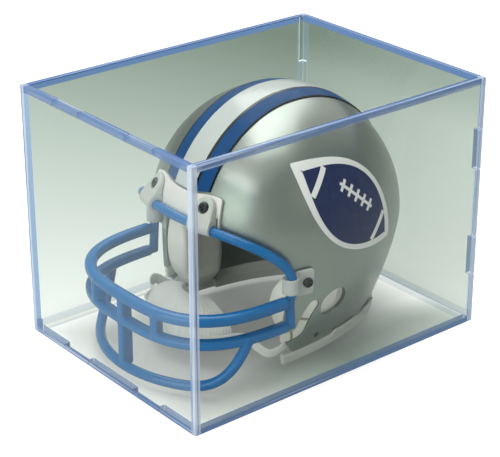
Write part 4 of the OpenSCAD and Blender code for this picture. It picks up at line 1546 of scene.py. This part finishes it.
    def build(self) -> None:
        """Makes all five pads."""
        for side in Side:
            self.jaw_pad(side)
            self.slot_tab(side)
        self.liner_pad("brow", self.brow_at, self.brow_half, FORM.point)
        self.liner_pad("nape", self.nape_at, self.nape_half, FORM.point)
        self.liner_pad("crown", self.crown_at, self.crown_half, FORM.dome_point)


@dataclass
class ChinStrap(Assembly):
    """The ribbed chin cup and its two straps, each pegged into the shell."""

    half_w: float = 29.5
    depth: float = 20.0
    half_h: float = 13.5
    cup_y: float = -48.0
    cup_z: float = 15.5
    cup_turn: float = 86.0
    cup_rise: float = 74.0
    wall: float = 2.0
    rib_pitch: float = 4.3
    rib_depth: float = 0.3
    strap_w: float = 5.0
    strap_t: float = 0.9
    strap_out: float = 3.3
    lap_in: float = -1.05
    lap_turns: Triple = (26.0, 13.0, 0.0)
    slack: tuple[Triple, ...] = ((2.4, 6.4, -2.0), (5.0, 10.4, -7.0), (8.4, 14.0, -9.9))
    slack_end: Triple = (-31.5, 6.8, 0.0)
    taut: tuple[Triple, ...] = ((3.4, -0.4, 0.6), (9.0, 4.0, 0.8), (13.6, 10.4, -1.2))
    taut_end: Triple = (-32.0, 9.2, 0.2)
    tail: tuple[Pair, ...] = ((-25.0, 9.8), (-18.15, 10.0), (-8.8, 10.0))
    peg_at: Pair = (-11.3, 10.0)
    peg_d: float = 2.6
    peg_l: float = 2.2

    def cup_point(self, turn: Points, rise: Points, inset: Points) -> Points:
        """Point of the cup at a turn from its front, a rise and an inset."""
        turn, rise = np.radians(turn), np.radians(rise)
        return np.stack(np.broadcast_arrays(
            (self.half_w - inset) * np.sin(turn) * np.cos(rise),
            self.cup_y - (self.depth - inset) * np.cos(turn) * np.cos(rise),
            self.cup_z + (self.half_h - inset) * np.sin(rise),
        ), axis=-1)

    def cup(self) -> None:
        """Makes the cup, with fine upright ribs over its outside."""

        def place(u: Points, v: Points) -> Points:
            """Point of the cup's ribbed outer face."""
            turn, rise = self.cup_turn * (2.0 * u - 1.0), self.cup_rise * (2.0 * v - 1.0)
            edge = np.clip((0.5 - np.abs(v - 0.5)) * 12.0, 0.0, 1.0)
            rib = 0.5 - 0.5 * np.cos(2.0 * np.pi * turn / self.rib_pitch)
            return self.cup_point(turn, rise, self.rib_depth * rib * edge)

        cup = weld(lay_grid("ribbed_chin_cup", 320, 44, place))
        finish_with(cup, "SOLIDIFY", thickness=self.wall * MM, offset=-1.0)
        round_edges(cup, 0.5, 60.0)
        self.hand_over(shade(cup, 60.0), "cup_white", "white_cup", "chin_cup")

    def lap_point(self, back: float) -> Points:
        """Point of a strap's lap on the cup, at a turn back from the cup's end."""
        return self.cup_point(np.array(self.cup_turn - back), np.array(0.0), self.lap_in)

    def way(self, side: Side) -> list[Points]:
        """Points between cup and shell: the left strap hangs slack, the right one is drawn up."""
        left = side is Side.LEFT
        bends, (y, z, off) = (self.slack, self.slack_end) if left else (self.taut, self.taut_end)
        end = self.lap_point(0.0)
        return [
            *(end + np.array(bend) for bend in bends), FORM.side_point(y, z, self.strap_out + off),
        ]

    def strap(self, side: Side) -> None:
        """Makes one side's strap with its peg, which is dressed dark as painted shade in the
        shell's peg hole.
        """
        lap = [self.lap_point(back) for back in self.lap_turns]
        tail = [FORM.side_point(y, z, self.strap_out) for y, z in self.tail]
        path = through(lap + self.way(side) + tail, 10) * side.flip
        above, below = (FORM.reach_x(np.array(self.peg_at[1] + dz), 0.0) for dz in (1.0, -1.0))
        lean = float(above - below) / 2 * side.value
        section = oval(self.strap_t, self.strap_w, 5.0, 24)
        strap = sweep(f"woven_strap_{side.word}", path, section, (lean, 0.0, 1.0))
        out = np.linspace(0.0, self.peg_l, 8)[:, None] * np.array([1.0, 0.0, 0.0])
        stem = (FORM.side_point(*self.peg_at, self.strap_out) + out) * side.flip
        peg = sweep(
            f"strap_peg_{side.word}", stem, oval(self.peg_d, self.peg_d), (0.0, 0.0, 1.0)
        )
        round_edges(peg, 0.4, 60.0)
        # The peg's dark finish is painted shade in the shell's peg hole.
        self.hand_over(shade(peg), "dark_screw", "white_strap")
        self.hand_over(shade(strap, 50.0), "tape", "white_strap", f"chin_strap_{side.word}")

    def build(self) -> None:
        """Makes the cup and both straps."""
        self.cup()
        for side in Side:
            self.strap(side)


@dataclass
class NeckBumper(Assembly):
    """White bumper under the shell's lower edge, with an inner lip and four clip tabs."""

    start: float = -4.0
    lip_start: float = 17.0
    lap: float = 0.5
    proud: float = 0.9
    lip: Pair = (2.8, 4.0)
    lip_z: Pair = (3.9, 9.0)
    foot: Pair = (0.0, 4.9)
    tabs: tuple[Pair, ...] = ((20.0, 33.0), (41.0, 51.0))
    tab_in: Pair = (-1.8, -0.2)
    tab_z: Pair = (1.0, 7.6)
    voxel: float = 0.34

    def band(
        self, turns: Pair, insets: Pair, heights: Pair, upright: bool, steps: int, corner: float
    ) -> Piece:
        """Draws a round-cornered section along the shell's edge.

        Args:
            turns: Where it starts and ends round the shell, in degrees.
            insets: Its outer and inner inset from the shell.
            heights: Its lower and upper height.
            upright: Whether it stands straight up instead of leaning with the shell.
            steps: Steps along it.
            corner: Power of the section's rounding.

        Returns:
            The closed band.
        """
        section = oval(insets[1] - insets[0], heights[1] - heights[0], corner, 24)
        section = section + np.array([sum(insets) / 2, sum(heights) / 2])

        def place(i: Points, k: Points) -> Points:
            """Point of the section at a step along the band."""
            turn = turns[0] + (turns[1] - turns[0]) * (i / steps)
            level = np.full(turn.shape, FORM.edge_z) if upright else section[k, 1]
            spot = FORM.point(turn, level, section[k, 0])
            spot[:, 2] = section[k, 1]
            return spot

        return lay_tube("bumper_band", steps, len(section), place)

    def build(self) -> None:
        """Makes the bumper as one moulding."""
        skirt, meet = (-self.proud, FORM.wall), self.lip_start + self.lap
        lip_turns = (self.lip_start, 180.0 - self.lip_start)
        parts = [
            self.band((self.start, meet), skirt, self.foot, True, 40, 6.0),
            self.band((180.0 - meet, 180.0 - self.start), skirt, self.foot, True, 40, 6.0),
            self.band(lip_turns, (-self.proud, self.lip[1]), self.foot, True, 160, 6.0),
            self.band(lip_turns, self.lip, self.lip_z, False, 180, 5.0),
        ]
        for start, end in self.tabs:
            for turns in ((start, end), (180.0 - end, 180.0 - start)):
                parts.append(self.band(turns, self.tab_in, self.tab_z, False, 12, 6.0))
        bumper = fuse(join("white_neck_bumper", parts), self.voxel, 3)
        self.hand_over(bumper, "bumper", "white_bumper", "neck_bumper")


@dataclass
class Decals(Assembly):
    """Printed film on the shell: three stripes over the crown and a plain ball on each side."""

    stripe_half_w: float = 7.6
    stripe_gap: float = 0.2
    stripe_w: float = 8.0
    plate_gap: float = 0.4
    back_z: float = 16.0
    over: float = 0.72
    top_d: float = -0.55
    film: float = 0.45
    ball_film: float = 0.3
    ball_l: float = 66.0
    ball_h: float = 38.0
    ball_at: Pair = (2.0, 76.0)
    ball_tilt: float = 42.0
    ball_tip: float = 0.5
    field_share: float = 0.88
    lace_at: tuple[float, ...] = (-9.0, -4.5, 0.0, 4.5, 9.0)
    band_at: Pair = (-20.5, 20.5)

    def stripe_point(self, x: Points, s: Points) -> Points:
        """Point of a stripe at a place across it and a share of its run from brow to nape."""
        d, power = self.top_d, FORM.power
        side = (np.abs(x) / (FORM.half_w - d)) ** power
        high = (FORM.top - d - FORM.level) * np.sqrt(1.0 - side ** (2.0 / power))
        front_z = FORM.plate_edge(FORM.brow_turn(x, FORM.plate_top)) + self.plate_gap
        start = np.arcsin((front_z - FORM.level) / high)
        turn = start + (np.pi - start) * np.minimum(1.0, s / self.over)
        z = FORM.level + high * np.sin(turn)
        left = np.clip(FORM.dome(z, d) ** power - side, 0.0, None)
        reach = np.where(turn < np.pi / 2, -(FORM.front - d), FORM.rear - d)
        over = np.stack([x, reach * left ** (1.0 / power), z], axis=-1)
        down = np.clip((s - self.over) / (1.0 - self.over), 0.0, 1.0)
        low = FORM.level - (FORM.level - self.back_z) * down
        share = 1.0 - (np.abs(x) / FORM.reach_x(low, d)) ** power
        rear = FORM.reach_y(low, d, np.zeros(low.shape, bool))
        back = FORM.middle(low) + rear * share ** (1.0 / power)
        return np.where((s <= self.over)[:, None], over, np.stack([x, back, low], axis=-1))

    def stripe(self, node: str, edges: Pair, slot: str, finish: str) -> None:
        """Lays one stripe over the shell.

        Args:
            node: CAD node that it stands for.
            edges: Its two edges across the helmet.
            slot: The record's material slot.
            finish: The printed film in the palette.
        """

        def place(u: Points, v: Points) -> Points:
            """Point of the stripe's face."""
            return self.stripe_point(edges[0] + (edges[1] - edges[0]) * u, v)

        stripe = weld(lay_grid(f"{node}_film", 14, 240, place))
        finish_with(stripe, "SOLIDIFY", thickness=self.film * MM, offset=-1.0)
        self.hand_over(shade(stripe), finish, slot, node)

    def patch(
        self, name: str, side: Side, outline: Outline, top_d: float, steps: tuple[int, int]
    ) -> Piece:
        """Lays a flat patch on the side of the shell.

        Args:
            name: Name of the patch.
            side: The wearer's side.
            outline: Gives the place along and across the ball for arrays of u and v.
            top_d: Inset of its face, negative outside the shell.
            steps: Faces along and across it.

        Returns:
            The patch.
        """
        tilt = math.radians(self.ball_tilt)

        def place(u: Points, v: Points) -> Points:
            """Point of the patch's face."""
            a, b = outline(u, v)
            y = self.ball_at[0] + a * math.cos(tilt) + b * math.sin(tilt)
            z = self.ball_at[1] - a * math.sin(tilt) + b * math.cos(tilt)
            return FORM.side_point(y, z, top_d) * side.flip

        patch = weld(lay_grid(name, *steps, place))
        facing = sum(face.normal.x * face.area for face in patch.data.polygons)
        if facing * side.value < 0:
            with editing(patch):
                bpy.ops.mesh.flip_normals()
        finish_with(patch, "SOLIDIFY", thickness=self.ball_film * MM, offset=-1.0)
        return shade(patch)

    def ball(self, size: float) -> Outline:
        """Outline of the ball at a share of its full size."""

        def outline(u: Points, v: Points) -> tuple[Points, Points]:
            """Place along and across the ball."""
            s = 2.0 * u - 1.0
            half = self.ball_tip + (self.ball_h / 2 - self.ball_tip) * (1.0 - s ** 2)
            shrink = self.ball_l / 2 - (1.0 - size) * self.ball_l / 2
            margin = (1.0 - size) * self.ball_h / 2 * (1.0 - 0.4 * s ** 2)
            return s * shrink, np.maximum(half - margin, 0.15) * (2.0 * v - 1.0)

        return outline

    def bar(self, along: Pair, across: Pair) -> Outline:
        """Outline of a straight bar between two places along and two across the ball."""

        def outline(u: Points, v: Points) -> tuple[Points, Points]:
            """Place along and across the ball."""
            return (
                along[0] + (along[1] - along[0]) * u, across[0] + (across[1] - across[0]) * v,
            )

        return outline

    def emblem(self, side: Side) -> None:
        """Lays one side's ball: a white outline, a dark field and white laces."""
        fine = (72, 36)
        border = self.patch(f"ball_outline_{side.word}", side, self.ball(1.0), -0.42, fine)
        inside = self.ball(self.field_share)
        inner = self.patch(f"ball_field_{side.word}", side, inside, -0.52, fine)
        bars = [((-11.0, 11.0), (4.6, 6.0), -0.58, (22, 2))]
        bars += [((a - 0.7, a + 0.7), (2.4, 8.2), -0.6, (2, 8)) for a in self.lace_at]
        bars += [((a - 1.2, a + 1.2), (-7.4, 7.4), -0.58, (3, 20)) for a in self.band_at]
        laces = join(f"ball_laces_{side.word}", [
            self.patch("lace", side, self.bar(along, across), top_d, steps)
            for along, across, top_d, steps in bars
        ])
        self.hand_over(border, "emblem_white", "blue_emblem", f"{side.word}_emblem")
        self.hand_over(inner, "emblem_blue", "blue_emblem")
        self.hand_over(laces, "emblem_white", "blue_emblem")

    def build(self) -> None:
        """Lays the stripes and both balls."""
        half = self.stripe_half_w
        low, high = half + self.stripe_gap, half + self.stripe_gap + self.stripe_w
        self.stripe("middle_stripe", (-half, half), "white_stripe", "stripe_white")
        self.stripe("left_stripe", (low, high), "blue_stripe", "stripe_blue")
        self.stripe("right_stripe", (-high, -low), "blue_stripe", "stripe_blue")
        for side in Side:
            self.emblem(side)


@dataclass
class Studio:
    """Pale floor, soft lights and the camera at the photograph's angle, in metres."""

    camera_at: Triple = (0.5674, -0.4684, 0.3901)
    azimuth: float = 50.62
    elevation: float = 24.65
    lens: float = 120.55
    sensor: float = 36.0
    floor_size: float = 12.0
    floor_drop: float = 0.0004
    under: Pair = (0.065, 0.087)
    mirrored: float = 0.65
    rim_glow: Pair = (-0.03, 0.02)
    under_glow: Pair = (0.16, 0.54)
    far_glow: Pair = (0.1, 0.9)
    far_gain: float = 0.33
    room_light: float = 0.25
    aim: Triple = (0.0, 0.0, 0.06)

    def camera(self) -> None:
        """Places the camera."""
        data = bpy.data.cameras.new("photo_camera")
        data.lens, data.sensor_width, data.sensor_fit = self.lens, self.sensor, "HORIZONTAL"
        data.clip_start, data.clip_end = 0.01, 60.0
        camera = bpy.data.objects.new("photo_camera", data)
        az, el = math.radians(self.azimuth), math.radians(self.elevation)
        right = Vector((math.cos(az), math.sin(az), 0.0))
        back = Vector((math.sin(az) * math.cos(el), -math.cos(az) * math.cos(el), math.sin(el)))
        turned = Matrix((right, back.cross(right), back)).transposed().to_4x4()
        camera.matrix_world = Matrix.Translation(self.camera_at) @ turned
        bpy.context.scene.collection.objects.link(camera)
        bpy.context.scene.camera = camera

    def seen_directly(self, recipe: Recipe) -> Socket:
        """Share of the white that a ray sees: full straight or through glass, less in metal."""
        path = recipe.add("LightPath").outputs
        mirrored = recipe.math("MULTIPLY", path["Is Glossy Ray"], self.mirrored)
        return recipe.fold(
            "MAXIMUM", path["Is Camera Ray"], mirrored, path["Is Transmission Ray"]
        )

    def glow(self, recipe: Recipe) -> Socket:
        """White of the floor: little under the case, and more where the lamps fall off."""
        place = recipe.place()
        beyond = recipe.fold("MAXIMUM", *(
            recipe.math("SUBTRACT", recipe.math("ABSOLUTE", at), half)
            for at, half in zip(recipe.axes(place), self.under)
        ))
        away = recipe.add("VectorMath", {0: place}, operation="LENGTH").outputs["Value"]
        least, rise = self.under_glow
        near = recipe.math("MULTIPLY_ADD", recipe.band(beyond, *self.rim_glow), rise, least)
        far = recipe.band(away, *self.far_glow)
        return recipe.math("MULTIPLY_ADD", far, self.far_gain, near)

    def floor(self) -> None:
        """Lays the pale floor, which keeps the object's shadow."""
        at = (0.0, 0.0, -self.floor_drop)
        floor = named(primitive(
            bpy.ops.mesh.primitive_plane_add, size=self.floor_size, location=at
        ), "studio_floor")
        material, recipe = new_recipe("studio_floor")
        grain = grained(recipe, (0.6, 0.6, 0.6), 0.02, 0.7, 0.05, 6.0, 300.0)
        matt = recipe.add("BsdfDiffuse", {"Color": grain.outputs["Colour"]})
        strength = recipe.math("MULTIPLY", self.seen_directly(recipe), self.glow(recipe))
        glow = recipe.add("Emission", {"Color": (1.0, 1.0, 1.0), "Strength": strength})
        both = recipe.add("AddShader", {0: matt.outputs[0], 1: glow.outputs[0]})
        recipe.output(both.outputs[0])
        dress(floor, material)

    def world(self) -> None:
        """Lights the room evenly and keeps its background white."""
        world = bpy.data.worlds.new("studio_world")
        world.use_nodes = True
        bpy.context.scene.world = world
        recipe = Recipe(world.node_tree)
        white = self.seen_directly(recipe)
        strength = recipe.math("MULTIPLY_ADD", white, 1.0 - self.room_light, self.room_light)
        ground = recipe.add("Background", {"Color": (1.0, 1.0, 1.0), "Strength": strength})
        recipe.add("OutputWorld", {"Surface": ground.outputs[0]})

    def lamp(self, name: str, at: Triple, size: Pair, power: float) -> None:
        """Hangs a soft rectangular lamp that looks at the case.

        Args:
            name: Name of the lamp.
            at: Its place, in metres.
            size: Its width and height, in metres.
            power: Its power, in watts.
        """
        data = bpy.data.lights.new(name, "AREA")
        data.shape, data.size, data.size_y, data.energy = "RECTANGLE", *size, power
        lamp = bpy.data.objects.new(name, data)
        turned = (Vector(self.aim) - Vector(at)).to_track_quat("-Z", "Y").to_matrix().to_4x4()
        lamp.matrix_world = Matrix.Translation(at) @ turned
        bpy.context.scene.collection.objects.link(lamp)

    def build(self) -> None:
        """Sets the whole studio up."""
        bpy.context.scene.view_settings.view_transform = "Standard"
        self.camera()
        self.floor()
        self.world()
        self.lamp("top_softbox", (-0.25, 0.2, 1.15), (0.9, 1.9), 16.0)
        self.lamp("front_softbox", (0.15, -1.0, 0.45), (0.8, 0.7), 7.0)
        self.lamp("side_softbox", (1.0, 0.1, 0.6), (0.6, 0.6), 0.8)


def make_finishes(palette: Palette) -> Finishes:
    """Makes every finish of a palette once.

    Args:
        palette: The finishes.

    Returns:
        The materials, by the names of the palette's fields.
    """
    return {one.name: getattr(palette, one.name).make() for one in fields(palette)}


def main() -> None:
    """Builds the studio and every piece."""
    logging.basicConfig(level=logging.INFO, format="%(name)s: %(message)s")
    Studio().build()
    finishes = make_finishes(Palette())
    for assembly in (
        DisplayCase, HelmetShell, FaceMask, MaskFittings, LinerPads, ChinStrap, NeckBumper, Decals,
    ):
        assembly(finishes).build()


if __name__ == "__main__":
    main()
